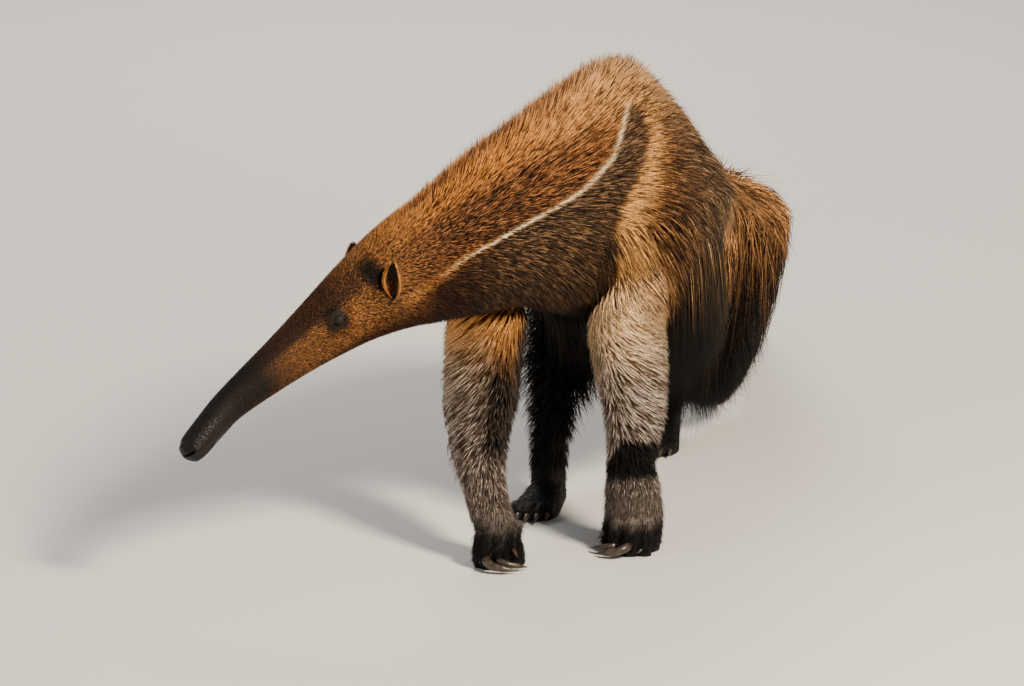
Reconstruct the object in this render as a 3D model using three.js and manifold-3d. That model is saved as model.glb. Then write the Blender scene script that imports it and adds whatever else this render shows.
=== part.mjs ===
// A giant anteater at life size, in mid stride with its head turned to its right.
// Millimetres. The animal faces -Y, its left side is +X, and the floor is z = 0.
import * as THREE from 'three';
import { mergeVertices } from 'three/addons/utils/BufferGeometryUtils.js';
import Module from 'manifold-3d';

const wasm = await Module();
wasm.setup();

const GAP = 0.3;
const UP = new THREE.Vector3(0, 0, 1);
const FORWARD = new THREE.Vector3(0, -1, 0);
const DEGREE = Math.PI / 180;

// Driving dimensions of the head, neck, trunk and tail, out to the tips of the coat.
// Each station: centre x, y, z, half width, height above it, depth below it, the powers of the
// upper and the lower half's curve, where less than 2 is narrower at the edge, and the share of
// the sizes that is closed under the long hair.
const SPINE = {
  noseTip: [-413, -405, 196, 13, 12.5, 13, 2.0, 2.2, 1],
  nose: [-406, -397, 204, 19.5, 18.5, 19.5, 2.0, 2.2, 1],
  lips: [-387, -374, 231, 21, 20.5, 21.5, 2.1, 2.2, 1],
  snout: [-365.5, -351, 258, 23, 22.5, 23.5, 2.1, 2.2, 1],
  bridge: [-310, -300, 308, 31, 33, 33, 2.1, 2.2, 1],
  eye: [-261, -250, 350, 42, 46, 46, 2.1, 2.2, 1],
  ear: [-226, -210, 378, 52, 59, 59, 2.0, 2.2, 1],
  nape: [-183, -165, 405, 62, 76, 76, 2.0, 2.2, 1],
  throat: [-139, -100, 422, 74, 97, 92, 1.9, 2.2, 0.985],
  neck: [-90, -25, 442, 86, 121, 110, 1.8, 2.2, 0.97],
  shoulders: [-47, 45, 452, 100, 148, 140, 1.7, 2.2, 0.95],
  withers: [-10, 130, 455, 112, 178, 168, 1.6, 2.2, 0.94],
  hump: [6, 200, 450, 115, 183, 190, 1.55, 2.2, 0.93],
  back: [2, 300, 428, 117, 170, 196, 1.45, 2.2, 0.91],
  loin: [-8, 400, 412, 117, 155, 190, 1.4, 2.2, 0.89],
  croup: [-16, 500, 398, 110, 124, 172, 1.25, 2.1, 0.88],
  rump: [-16, 600, 374, 96, 79, 140, 1.3, 1.8, 0.84],
  dock: [-2, 680, 345, 86, 62, 252, 1.5, 1.6, 0.5],
  tailRoot: [18, 750, 300, 110, 86, 276, 1.7, 1.6, 0.54],
  tailFirst: [12, 850, 285, 96, 70, 268, 1.7, 1.4, 0.54],
  tailSecond: [-8, 950, 255, 80, 62, 240, 1.7, 1.25, 0.53],
  tailThird: [-40, 1090, 200, 64, 54, 186, 1.8, 1.2, 0.53],
  tailFourth: [-80, 1220, 130, 50, 42, 118, 1.9, 1.3, 0.53],
  tailFifth: [-106, 1330, 64, 36, 28, 56, 2.0, 1.6, 0.54],
  tailTip: [-122, 1400, 24, 15, 12, 18, 2.0, 2.0, 0.6],
};
const SPINE_SIDES = 20;
const SPINE_STEP = 0.5;

// Driving dimensions of the legs, from the shoulder or hip down.
// Each station: centre x, y, z, half width, reach to the front, reach to the rear, closed share.
const LEGS = {
  foreleg_left: {
    shoulder: [70, 130, 420, 48, 66, 66, 0.98],
    arm: [64, 92, 350, 52, 60, 64, 0.93],
    elbow: [63, 62, 300, 52, 52, 60, 0.88],
    forearm: [74, 46, 243, 50, 46, 54, 0.86],
    shin: [84, 28, 180, 42, 38, 44, 0.86],
    wrist: [84, 12, 122, 32, 32, 34, 0.95],
    hand: [89, 4, 84, 37, 33, 34, 1],
    palm: [91, 4, 44, 40, 34, 34, 1],
    sole: [89, 4, -6, 37, 32, 32, 1],
  },
  foreleg_right: {
    shoulder: [-84, 90, 420, 48, 66, 66, 0.98],
    arm: [-107, 36, 350, 55, 58, 62, 0.93],
    elbow: [-118, -2, 288, 53, 50, 56, 0.88],
    forearm: [-117, -30, 215, 50, 42, 48, 0.86],
    shin: [-108, -70, 150, 37, 34, 38, 0.86],
    wrist: [-94, -95, 108, 29, 30, 30, 0.95],
    hand: [-80, -110, 68, 27, 30, 30, 1],
    palm: [-65, -118, 34, 28, 32, 32, 1],
    sole: [-57, -120, -6, 29, 30, 34, 1],
  },
  hindleg_left: {
    hip: [52, 590, 380, 52, 92, 84, 0.98],
    thigh: [54, 560, 300, 50, 86, 82, 0.93],
    knee: [34, 556, 230, 43, 68, 70, 0.88],
    shank: [6, 592, 165, 36, 46, 50, 0.86],
    hock: [-19, 622, 100, 28, 32, 34, 0.95],
    ankle: [-30, 634, 60, 27, 32, 32, 1],
    heel: [-34, 636, 26, 27, 34, 30, 1],
    sole: [-34, 636, -6, 25, 34, 26, 1],
  },
  hindleg_right: {
    hip: [-78, 545, 370, 50, 96, 88, 0.98],
    thigh: [-92, 456, 298, 50, 88, 82, 0.93],
    knee: [-102, 370, 232, 43, 64, 66, 0.88],
    shank: [-101, 302, 166, 34, 44, 48, 0.86],
    hock: [-97, 254, 100, 27, 31, 34, 0.95],
    ankle: [-94, 234, 60, 26, 31, 32, 1],
    heel: [-94, 232, 26, 26, 34, 30, 1],
    sole: [-94, 232, -6, 25, 34, 26, 1],
  },
};
const LEG_SIDES = 12;
const LEG_STEP = 0.5;

// The hands, which walk on their knuckles with the claws folded inward and back.
// Each digit from the outer one: its place across the hand, how far it is set back, its radius,
// and its claw's radius and path as steps inward, ahead and up from the knuckle.
const HAND = {
  spread: 0.86,
  digits: [
    {
      place: 0.15,
      back: 5,
      radius: 11,
      clawRadius: 3.5,
      claw: [[0, 2, 12], [3, 9, 10], [7, 15, 6]],
    },
    {
      place: 0.42,
      back: 0,
      radius: 13,
      clawRadius: 6.2,
      claw: [[0, 0, 15], [2, 17, 15], [13, 25, 11], [29, 24, 8], [46, 15, 4]],
    },
    {
      place: 0.7,
      back: 2,
      radius: 12,
      clawRadius: 5.4,
      claw: [[0, 0, 15], [3, 9, 14], [15, 11, 11], [27, 5, 8], [40, -7, 4]],
    },
    {
      place: 0.95,
      back: 20,
      radius: 9,
      clawRadius: 3.5,
      claw: [[0, 2, 26], [7, 8, 23], [13, 13, 17]],
    },
  ],
};
const HANDS = {
  forefoot_left: { leg: 'foreleg_left', inward: -1 },
  forefoot_right: { leg: 'foreleg_right', inward: 1 },
};

// The hind feet, which walk on the whole sole.
// Each toe: place across the foot from the inner side, reach, radius, claw length.
const FOOT = {
  length: 118,
  heelWidth: 26,
  ballWidth: 34,
  heelHeight: 40,
  ballHeight: 26,
  toes: [[0.08, 16, 9, 18], [0.3, 24, 10, 24], [0.52, 27, 10.5, 26], [0.74, 23, 10, 24], [0.94, 13, 9, 18]],
};
const FEET = {
  hindfoot_left: { leg: 'hindleg_left', inward: -1, turnOut: 8 },
  hindfoot_right: { leg: 'hindleg_right', inward: 1, turnOut: -3 },
};

// Colours, as daylight colours of the coat and skin.
const FINISHES = {
  snoutSkin: { color: 0x2e241e, roughness: 0.45 },
  headFur: { color: 0x6a4a2c, roughness: 0.85 },
  earSkin: { color: 0x9a7346, roughness: 0.8 },
  eyeball: { color: 0x120c08, roughness: 0.12 },
  neckFur: { color: 0x59422c, roughness: 0.9 },
  bodyCoat: { color: 0x4c3a2a, roughness: 0.92 },
  tailCoat: { color: 0x7a5530, roughness: 0.92 },
  paleLeg: { color: 0xc9bda8, roughness: 0.9 },
  darkLeg: { color: 0x241b15, roughness: 0.92 },
  claw: { color: 0x2b2521, roughness: 0.4 },
};

// Turns a closed geometry into a solid that can be joined and cut.
function toSolid(geometry) {
  const bare = geometry.clone();
  bare.deleteAttribute('normal');
  bare.deleteAttribute('uv');
  const merged = mergeVertices(bare, 1e-4);
  const mesh = new wasm.Mesh({
    numProp: 3,
    vertProperties: new Float32Array(merged.attributes.position.array),
    triVerts: new Uint32Array(merged.index.array),
  });
  return new wasm.Manifold(mesh);
}

function toGeometry(solid) {
  const mesh = solid.getMesh();
  const geometry = new THREE.BufferGeometry();
  geometry.setAttribute('position', new THREE.BufferAttribute(mesh.vertProperties, 3));
  geometry.setIndex(new THREE.BufferAttribute(mesh.triVerts, 1));
  return geometry;
}

function join(solids) {
  return solids.reduce((all, solid) => all.add(solid));
}

// The largest closed surface of a solid, without hollows sealed inside it or loose scraps.
function largest(solid) {
  const bodies = solid.decompose();
  return bodies.reduce((best, body) => (body.volume() > best.volume() ? body : best));
}

function signedVolume(points, faces) {
  let volume = 0;
  for (let i = 0; i < faces.length; i += 3) {
    const [a, b, c] = [points[faces[i]], points[faces[i + 1]], points[faces[i + 2]]];
    volume += a.dot(new THREE.Vector3().crossVectors(b, c));
  }
  return volume;
}

function middle(points) {
  return points.reduce((sum, point) => sum.add(point), new THREE.Vector3()).divideScalar(points.length);
}

// A closed solid over rings of points, with a fan to a point at each end.
function skinOver(rings, firstPoint = middle(rings[0]), lastPoint = middle(rings.at(-1))) {
  const sides = rings[0].length;
  const points = [...rings.flat(), firstPoint, lastPoint];
  const first = points.length - 2;
  const last = points.length - 1;
  const end = (rings.length - 1) * sides;
  const faces = [];
  for (let side = 0; side < sides; side++) {
    const next = (side + 1) % sides;
    for (let start = 0; start < end; start += sides) {
      faces.push(start + side, start + next, start + next + sides);
      faces.push(start + side, start + next + sides, start + side + sides);
    }
    faces.push(first, next, side);
    faces.push(last, end + side, end + next);
  }
  if (signedVolume(points, faces) < 0) {
    faces.reverse();
  }
  const geometry = new THREE.BufferGeometry();
  const numbers = points.flatMap((point) => point.toArray());
  geometry.setAttribute('position', new THREE.Float32BufferAttribute(numbers, 3));
  geometry.setIndex(faces);
  return toSolid(geometry);
}

// The values of a table of stations at any place along it, on a smooth curve.
function along(stations, place) {
  const rows = Object.values(stations);
  const index = THREE.MathUtils.clamp(Math.floor(place), 0, rows.length - 2);
  const t = place - index;
  const here = rows[index];
  const next = rows[index + 1];
  const before = rows[index - 1] ?? here.map((value, k) => 2 * value - next[k]);
  const after = rows[index + 2] ?? next.map((value, k) => 2 * value - here[k]);
  return here.map((value, k) => {
    const rise = next[k] - value;
    const slopeIn = (next[k] - before[k]) / 2;
    const slopeOut = (after[k] - value) / 2;
    const bend = 3 * rise - 2 * slopeIn - slopeOut;
    const twist = slopeIn + slopeOut - 2 * rise;
    return value + t * (slopeIn + t * (bend + t * twist));
  });
}

function placeOf(stations, name) {
  return Object.keys(stations).indexOf(name);
}

function directionAt(stations, place) {
  const reach = 0.05;
  const [x0, y0, z0] = along(stations, place - reach);
  const [x1, y1, z1] = along(stations, place + reach);
  return new THREE.Vector3(x1 - x0, y1 - y0, z1 - z0).normalize();
}

// One section of the head, neck, trunk or tail: its centre, its axes and its half sizes.
function spineSection(place) {
  const [x, y, z, width, above, below, power, lowerPower, closed] = along(SPINE, place);
  const forward = directionAt(SPINE, place).negate();
  const side = new THREE.Vector3().crossVectors(UP, forward).normalize();
  const up = new THREE.Vector3().crossVectors(forward, side);
  return {
    centre: new THREE.Vector3(x, y, z),
    forward,
    side,
    up,
    width,
    above,
    below,
    power,
    lowerPower,
    closed,
  };
}

function superCurve(value, power) {
  return Math.sign(value) * Math.abs(value) ** (2 / power);
}

// A point of the spine's surface, the angle counted from the left side over the top.
// Its level runs from 0 on the closed form under the coat to 1 at the tips of the hair.
function spinePoint(place, angle, grow = 0, level = 0) {
  const { centre, side, up, width, above, below, power, lowerPower, closed } = spineSection(place);
  const share = THREE.MathUtils.lerp(closed, 1, level);
  const across = Math.cos(angle);
  const rise = Math.sin(angle);
  const curve = rise > 0 ? power : lowerPower;
  const height = rise > 0 ? above : below;
  return centre
    .addScaledVector(side, (width * share + grow) * superCurve(across, curve))
    .addScaledVector(up, (height * share + grow) * superCurve(rise, curve));
}

// A point of a leg's surface, the angle counted from the left side over the front.
function legPoint(leg, place, angle, grow = 0, level = 0) {
  const [x, y, z, width, fore, rear, closed] = along(LEGS[leg], place);
  const share = THREE.MathUtils.lerp(closed, 1, level);
  const down = directionAt(LEGS[leg], place);
  const side = new THREE.Vector3().crossVectors(FORWARD, down).normalize();
  const front = new THREE.Vector3().crossVectors(down, side);
  const reach = Math.sin(angle) > 0 ? fore : rear;
  return new THREE.Vector3(x, y, z)
    .addScaledVector(side, (width * share + grow) * Math.cos(angle))
    .addScaledVector(front, (reach * share + grow) * Math.sin(angle));
}

// A closed form between two places of a surface that is given by place and angle.
function form(pointAt, from, to, step, sides, grow = 0) {
  const count = Math.max(1, Math.round((to - from) / step));
  const rings = Array.from({ length: count + 1 }, (_, ring) => {
    const place = from + ((to - from) * ring) / count;
    return Array.from({ length: sides }, (__, side) => pointAt(place, (side / sides) * 2 * Math.PI, grow));
  });
  return skinOver(rings);
}

function spineForm(from, to, grow = 0) {
  return form(spinePoint, from, to, SPINE_STEP, SPINE_SIDES, grow);
}

function legForm(leg, from, to, grow = 0) {
  const pointAt = (place, angle, extra) => legPoint(leg, place, angle, extra);
  return form(pointAt, from, to, LEG_STEP, LEG_SIDES, grow);
}

// A tapered, bent form along a path: its half width across and half thickness at each point.
function taper(path, widths, thicknesses, across, sides, { firstPoint, lastPoint } = {}) {
  const rings = path.map((point, i) => {
    const before = path[Math.max(i - 1, 0)];
    const after = path[Math.min(i + 1, path.length - 1)];
    const run = after.clone().sub(before).normalize();
    const wide = across.clone().addScaledVector(run, -across.dot(run)).normalize();
    const thick = new THREE.Vector3().crossVectors(run, wide);
    return Array.from({ length: sides }, (_, side) => {
      const angle = (side / sides) * 2 * Math.PI;
      return point.clone()
        .addScaledVector(wide, widths[i] * Math.cos(angle))
        .addScaledVector(thick, thicknesses[i] * Math.sin(angle));
    });
  });
  return skinOver(rings, firstPoint, lastPoint);
}

// A closed loop of even thickness, such as a lid's rim.
function loop(path, radius, sides) {
  const curve = new THREE.CatmullRomCurve3(path, true);
  return toSolid(new THREE.TubeGeometry(curve, path.length, radius, sides, true));
}

function ball(centre, halfSizes, columns, rows, turn = new THREE.Quaternion()) {
  const geometry = new THREE.SphereGeometry(1, columns, rows);
  geometry.scale(...halfSizes);
  geometry.applyQuaternion(turn);
  geometry.translate(...centre.toArray());
  return toSolid(geometry);
}

function box(low, high, grow = 0) {
  const size = new THREE.Vector3().subVectors(high, low).addScalar(2 * grow);
  const centre = new THREE.Vector3().addVectors(low, high).multiplyScalar(0.5);
  const geometry = new THREE.BoxGeometry(...size.toArray());
  geometry.translate(...centre.toArray());
  return toSolid(geometry);
}

// A point on a surface with its outward, backward and sideways directions.
function surfaceFrame(pointAt, place, angle) {
  const reach = 0.05;
  const point = pointAt(place, angle);
  const back = pointAt(place + reach, angle).sub(pointAt(place - reach, angle)).normalize();
  const round = pointAt(place, angle + reach).sub(pointAt(place, angle - reach)).normalize();
  const opposite = pointAt(place, angle + Math.PI);
  const out = new THREE.Vector3().crossVectors(back, round).normalize();
  if (out.dot(opposite.sub(point)) > 0) {
    out.negate();
  }
  return { point, back, round, out };
}

// The turn that carries +Z to one direction and +X close to another.
function turnTo(zAxis, xHint) {
  const z = zAxis.clone().normalize();
  const x = xHint.clone().addScaledVector(z, -xHint.dot(z)).normalize();
  const y = new THREE.Vector3().crossVectors(z, x);
  return new THREE.Quaternion().setFromRotationMatrix(new THREE.Matrix4().makeBasis(x, y, z));
}

const parts = [];

function addPart(name, solid, finish) {
  parts.push({ name, solid: largest(solid), finish });
}

// Eyes, small and set deep, with a rim of lid round each.
const EYE = {
  place: placeOf(SPINE, 'eye') - 0.02,
  angle: 17,
  radius: 7.5,
  depth: 4.5,
  lidLength: 11,
  lidHeight: 6.5,
};

function eyeFrame(onLeft) {
  const angle = (onLeft ? EYE.angle : 180 - EYE.angle) * DEGREE;
  return surfaceFrame(spinePoint, EYE.place, angle);
}

function eyeBall(onLeft, grow = 0) {
  const { point, out } = eyeFrame(onLeft);
  const radius = EYE.radius + grow;
  return ball(point.addScaledVector(out, -EYE.depth), [radius, radius, radius], 10, 6);
}

function lids(onLeft) {
  const { point, out, back } = eyeFrame(onLeft);
  const up = new THREE.Vector3().crossVectors(out, back).normalize();
  if (up.z < 0) {
    up.negate();
  }
  const steps = 10;
  const path = Array.from({ length: steps }, (_, i) => {
    const angle = (i / steps) * 2 * Math.PI;
    const rise = Math.sin(angle) * (Math.sin(angle) > 0 ? 1 : 0.8);
    return point.clone()
      .addScaledVector(back, EYE.lidLength * Math.cos(angle))
      .addScaledVector(up, EYE.lidHeight * rise)
      .addScaledVector(out, 0.4 - 2.2 * Math.cos(angle) ** 2);
  });
  return loop(path, 2.4, 5);
}

// Ears: short rounded cups that open forward and outward.
const EAR = {
  place: placeOf(SPINE, 'ear') + 0.34,
  angle: 13,
  height: 24.5,
  width: 13,
  depth: 12,
  wall: 2.6,
  lift: 7,
  rise: 9,
};

function ear(onLeft) {
  const angle = (onLeft ? EAR.angle : 180 - EAR.angle) * DEGREE;
  const { point, out, back } = surfaceFrame(spinePoint, EAR.place, angle);
  const mouth = out.clone().multiplyScalar(0.8).addScaledVector(back, -0.6).normalize();
  const turn = turnTo(UP, mouth);
  const tall = new THREE.Vector3(0, 0, 1).applyQuaternion(turn);
  const centre = point.addScaledVector(out, EAR.lift).addScaledVector(tall, EAR.rise);
  const cup = ball(centre, [EAR.depth, EAR.width, EAR.height], 10, 6, turn);
  const hollowCentre = centre.clone().addScaledVector(mouth, EAR.depth * 0.8);
  const hollowSizes = [EAR.depth * 1.3, EAR.width - EAR.wall, EAR.height - EAR.wall];
  const hollow = ball(hollowCentre, hollowSizes, 10, 6, turn);
  const head = spineForm(placeOf(SPINE, 'eye'), placeOf(SPINE, 'throat'), GAP);
  return cup.subtract(hollow).subtract(head);
}

// Nostrils at the sides of the nose, and the narrow mouth under it with its lips.
const MOUTH = { cornerPlace: 2.3, frontPlace: 0.55, drop: -26, lip: 2.4, slit: 0.8, steps: 8 };

function mouthPath() {
  return Array.from({ length: MOUTH.steps + 1 }, (_, i) => {
    const turn = (i / MOUTH.steps) * Math.PI;
    const angle = Math.PI * 1.5 + (Math.PI / 2 + MOUTH.drop * DEGREE) * Math.cos(turn);
    const place = MOUTH.cornerPlace + (MOUTH.frontPlace - MOUTH.cornerPlace) * Math.sin(turn) ** 0.6;
    return spinePoint(place, angle);
  });
}

function mouthTube(radius) {
  const path = mouthPath();
  const radii = path.map((_, i) => radius * (0.45 + 0.55 * Math.sin((i / MOUTH.steps) * Math.PI)));
  return taper(path, radii, radii, UP, 4);
}

function nostril(onLeft) {
  const angle = (onLeft ? 30 : 150) * DEGREE;
  const { point, out, back } = surfaceFrame(spinePoint, 0.95, angle);
  return ball(point, [4.2, 2.2, 4], 8, 6, turnTo(out, back));
}

// Hands: knuckles in front of the palm, each with a claw that folds inward and back.
function handAxes(hand) {
  const { leg, inward } = HANDS[hand];
  const [x, y, , width, fore] = LEGS[leg].palm;
  return { inward, width, centre: new THREE.Vector3(x, y, 0), front: y - fore };
}

function knuckleTip(hand, { place, back }) {
  const { inward, width, centre, front } = handAxes(hand);
  return new THREE.Vector3(centre.x + inward * width * (2 * place - 1) * HAND.spread, front + back, 0);
}

function knuckle(hand, digit) {
  const tip = knuckleTip(hand, digit);
  const { radius } = digit;
  const bends = [[24, 52], [2, 36], [-6, 17], [-2, -4]];
  const path = bends.map(([y, z]) => tip.clone().add(new THREE.Vector3(0, y, z)));
  const radii = [radius, radius * 1.05, radius, radius * 0.8];
  return taper(path, radii, radii, new THREE.Vector3(1, 0, 0), 5);
}

function handClaw(hand, digit, grow = 0) {
  const tip = knuckleTip(hand, digit);
  const { inward } = handAxes(hand);
  const path = digit.claw.map(([inside, ahead, z]) => {
    return tip.clone().add(new THREE.Vector3(inward * inside, -ahead - 6, z));
  });
  const end = path.pop();
  const radii = path.map((_, i) => digit.clawRadius * (1 - 0.45 * (i / path.length) ** 2) + grow);
  return taper(path, radii, radii, UP, 6, { lastPoint: end });
}

// Hind feet: one long sole with five toes and claws.
function footAxes(foot) {
  const { leg, inward, turnOut } = FEET[foot];
  const [x, y] = LEGS[leg].sole;
  const forward = FORWARD.clone().applyAxisAngle(UP, -inward * turnOut * DEGREE);
  const inner = new THREE.Vector3().crossVectors(forward, UP).multiplyScalar(inward < 0 ? -1 : 1);
  return { heel: new THREE.Vector3(x, y, 0), forward, inner };
}

function footPoint(foot, ahead, inside, height) {
  const { heel, forward, inner } = footAxes(foot);
  return heel.clone().addScaledVector(forward, ahead).addScaledVector(inner, inside).setZ(height);
}

function soleForm(foot) {
  const { inner } = footAxes(foot);
  const stations = [
    [-22, FOOT.heelWidth * 0.85, 24],
    [10, FOOT.heelWidth, FOOT.heelHeight],
    [55, FOOT.ballWidth * 0.92, 32],
    [92, FOOT.ballWidth, FOOT.ballHeight],
    [FOOT.length, FOOT.ballWidth * 0.8, 18],
  ];
  const path = stations.map(([ahead]) => footPoint(foot, ahead, 0, 0));
  const widths = stations.map(([, width]) => width);
  const heights = stations.map(([, , height]) => height);
  return taper(path, widths, heights, inner, 8);
}

function toe(foot, [place, reach, radius]) {
  const { inner } = footAxes(foot);
  const side = -FOOT.ballWidth * 0.82 * (2 * place - 1);
  const path = [
    footPoint(foot, FOOT.length - 26, side, 12),
    footPoint(foot, FOOT.length - 4, side * 1.03, 13),
    footPoint(foot, FOOT.length - 10 + reach, side * 1.06, 9),
  ];
  return taper(path, [radius, radius, radius * 0.85], [radius, radius, radius * 0.8], inner, 5, {
    lastPoint: footPoint(foot, FOOT.length - 5 + reach, side * 1.07, 7),
  });
}

function toeClaw(foot, [place, reach, radius, length], grow = 0) {
  const { inner } = footAxes(foot);
  const side = -FOOT.ballWidth * 0.82 * (2 * place - 1) * 1.07;
  const start = FOOT.length - 14 + reach;
  const path = [
    footPoint(foot, start, side, 9.5),
    footPoint(foot, start + length * 0.5, side, 10.5),
    footPoint(foot, start + length * 0.85, side, 8),
  ];
  const size = radius * 0.42;
  const widths = [1, 0.9, 0.55].map((share) => share * size + grow);
  const tip = footPoint(foot, start + length * 1.15 + grow, side, 3.5 + grow);
  return taper(path, widths, widths, inner, 4, { lastPoint: tip });
}

// The whole body before it is divided.
const SPINE_END = Object.keys(SPINE).length - 1;
const bodyPieces = [spineForm(0, SPINE_END)];
for (const leg of Object.keys(LEGS)) {
  bodyPieces.push(legForm(leg, 0, Object.keys(LEGS[leg]).length - 1));
}
for (const hand of Object.keys(HANDS)) {
  bodyPieces.push(...HAND.digits.map((digit) => knuckle(hand, digit)));
}
for (const foot of Object.keys(FEET)) {
  bodyPieces.push(soleForm(foot), ...FOOT.toes.map((one) => toe(foot, one)));
}
bodyPieces.push(lids(true), lids(false), mouthTube(MOUTH.lip));

const cuts = [
  eyeBall(true, GAP),
  eyeBall(false, GAP),
  nostril(true),
  nostril(false),
  mouthTube(MOUTH.slit),
];
for (const [sideName, onLeft] of [['left', true], ['right', false]]) {
  addPart(`eye_${sideName}`, eyeBall(onLeft), 'eyeball');
  addPart(`ear_${sideName}`, ear(onLeft), 'earSkin');
}
for (const hand of Object.keys(HANDS)) {
  HAND.digits.forEach((digit, i) => {
    addPart(`claw_${hand}_${i + 2}`, handClaw(hand, digit), 'claw');
    cuts.push(handClaw(hand, digit, GAP));
  });
}
for (const foot of Object.keys(FEET)) {
  FOOT.toes.forEach((one, i) => {
    addPart(`claw_${foot}_${i + 1}`, toeClaw(foot, one), 'claw');
    cuts.push(toeClaw(foot, one, GAP));
  });
}
const FAR = 2000;
cuts.push(box(new THREE.Vector3(-FAR, -FAR, -FAR), new THREE.Vector3(FAR, FAR, 0)));
let body = join(bodyPieces).subtract(join(cuts));

const LEG_ROOM = { side: 70, front: 190, rear: 60, coat: 10 };

// Where the body is parted. Each region takes what it holds, in this order.
function ahead(place, grow) {
  const { centre, forward, side } = spineSection(place);
  const geometry = new THREE.BoxGeometry(FAR, FAR, FAR);
  geometry.translate(0, 0, FAR / 2 - grow);
  geometry.applyQuaternion(turnTo(forward, side));
  geometry.translate(...centre.toArray());
  return toSolid(geometry);
}

function legBox(leg, lowZ, highZ, grow) {
  const near = Object.values(LEGS[leg]).filter(([, , z]) => {
    return z > lowZ - LEG_ROOM.side && z < highZ + LEG_ROOM.side;
  });
  const xs = near.map(([x]) => x);
  const ys = near.map(([, y]) => y);
  const low = new THREE.Vector3(Math.min(...xs) - LEG_ROOM.side, Math.min(...ys) - LEG_ROOM.front, lowZ);
  const high = new THREE.Vector3(Math.max(...xs) + LEG_ROOM.side, Math.max(...ys) + LEG_ROOM.rear, highZ);
  return box(low, high, grow);
}

const SEAMS = {
  foreleg_left: { ankleZ: 100, middleZ: 232, top: 1.5 },
  foreleg_right: { ankleZ: 86, middleZ: 222, top: 1.5 },
  hindleg_left: { ankleZ: 66, middleZ: 196, top: 1.1 },
  hindleg_right: { ankleZ: 66, middleZ: 196, top: 1.1 },
};
const regions = [];
for (const [leg, { ankleZ, middleZ, top }] of Object.entries(SEAMS)) {
  const front = leg.startsWith('fore');
  const finish = front ? 'paleLeg' : 'darkLeg';
  const foot = leg.replace('leg', 'foot');
  regions.push([foot, 'darkLeg', (grow) => legBox(leg, -LEG_ROOM.side, ankleZ, grow)]);
  regions.push([`${leg}_lower`, finish, (grow) => legBox(leg, -LEG_ROOM.side, middleZ, grow)]);
  regions.push([`${leg}_upper`, finish, (grow) => legForm(leg, top - grow / 60, 4, LEG_ROOM.coat + grow)]);
}
const SPINE_SEAMS = [
  ['snout', 'snoutSkin', 'bridge', 0.4],
  ['head', 'headFur', 'nape', 0.2],
  ['neck', 'neckFur', 'shoulders', 0.2],
  ['torso_front', 'bodyCoat', 'back', 0.5],
  ['torso_rear', 'bodyCoat', 'dock', 0.4],
  ['tail_base', 'tailCoat', 'tailSecond', -0.4],
  ['tail_middle', 'tailCoat', 'tailFourth', -0.4],
];
for (const [name, finish, station, shift] of SPINE_SEAMS) {
  regions.push([name, finish, (grow) => ahead(placeOf(SPINE, station) + shift, grow)]);
}
for (const [name, finish, region] of regions) {
  addPart(name, body.intersect(region(0)), finish);
  body = body.subtract(region(GAP));
}
addPart('tail_tip', body, 'tailCoat');

// The long coat: flat, tapered locks in beds. Each bed is a grid of roots between two places.
// Its locks turn from one angle to another on the left side, in degrees, reach back by so many
// places, rise by a share of the coat's depth, and hang by so many millimetres at their ends.
// Each bed is repeated on the right side.
const COAT = {
  neck: [
    { from: 7.6, to: 9.9, rows: 3, single: true, start: 90, end: 88, back: 0.7, width: 13, rise: 1.25 },
  ],
  torso_front: [
    { from: 10.4, to: 13.2, rows: 3, single: true, start: 90, end: 88, back: 0.95, width: 20, rise: 1.2 },
    { from: 11.1, to: 13.2, rows: 2, start: 56, end: 40, back: 0.85, width: 28 },
    { from: 11.5, to: 13.3, rows: 2, start: 18, end: -8, back: 0.8, width: 28 },
    { from: 12.1, to: 13.3, rows: 2, start: -30, end: -46, back: 0.5, width: 27, hang: 60 },
  ],
  torso_rear: [
    { from: 13.6, to: 17.2, rows: 4, single: true, start: 90, end: 88, back: 0.95, width: 20, rise: 1.15 },
    { from: 13.7, to: 17.2, rows: 3, start: 54, end: 32, back: 0.95, width: 31 },
    { from: 13.8, to: 17.2, rows: 3, start: 16, end: -14, back: 0.95, width: 33 },
    { from: 13.7, to: 16.5, rows: 4, start: -22, end: -42, back: 0.35, width: 29, rise: 1.3, hang: 120 },
    { from: 16.4, to: 17.3, rows: 2, start: -12, end: -62, back: 0.3, width: 30, rise: 1, hang: 50 },
  ],
  tail_base: [
    { from: 17.5, to: 19.5, rows: 2, single: true, start: 90, end: 88, back: 0.9, width: 24, rise: 1 },
    { from: 17.6, to: 19.5, rows: 3, start: 54, end: -12, back: 0.5, width: 32 },
    { from: 17.6, to: 19.5, rows: 3, start: 16, end: -54, back: 0.35, width: 32 },
    { from: 17.6, to: 19.5, rows: 3, start: -36, end: -80, back: 0.2, width: 32 },
  ],
  tail_middle: [
    { from: 19.7, to: 21.4, rows: 2, single: true, start: 90, end: 88, back: 0.8, width: 20, rise: 1 },
    { from: 19.7, to: 21.5, rows: 3, start: 54, end: -12, back: 0.5, width: 34 },
    { from: 19.7, to: 21.5, rows: 4, start: 16, end: -54, back: 0.35, width: 29 },
    { from: 19.7, to: 21.5, rows: 3, start: -36, end: -80, back: 0.25, width: 34 },
  ],
  tail_tip: [
    { from: 21.7, to: 23.5, rows: 2, single: true, start: 90, end: 88, back: 0.8, width: 14, rise: 1 },
    { from: 21.7, to: 23.6, rows: 3, start: 42, end: -14, back: 0.6, width: 24 },
    { from: 21.7, to: 23.4, rows: 3, start: -16, end: -68, back: 0.45, width: 24 },
  ],
};
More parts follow.
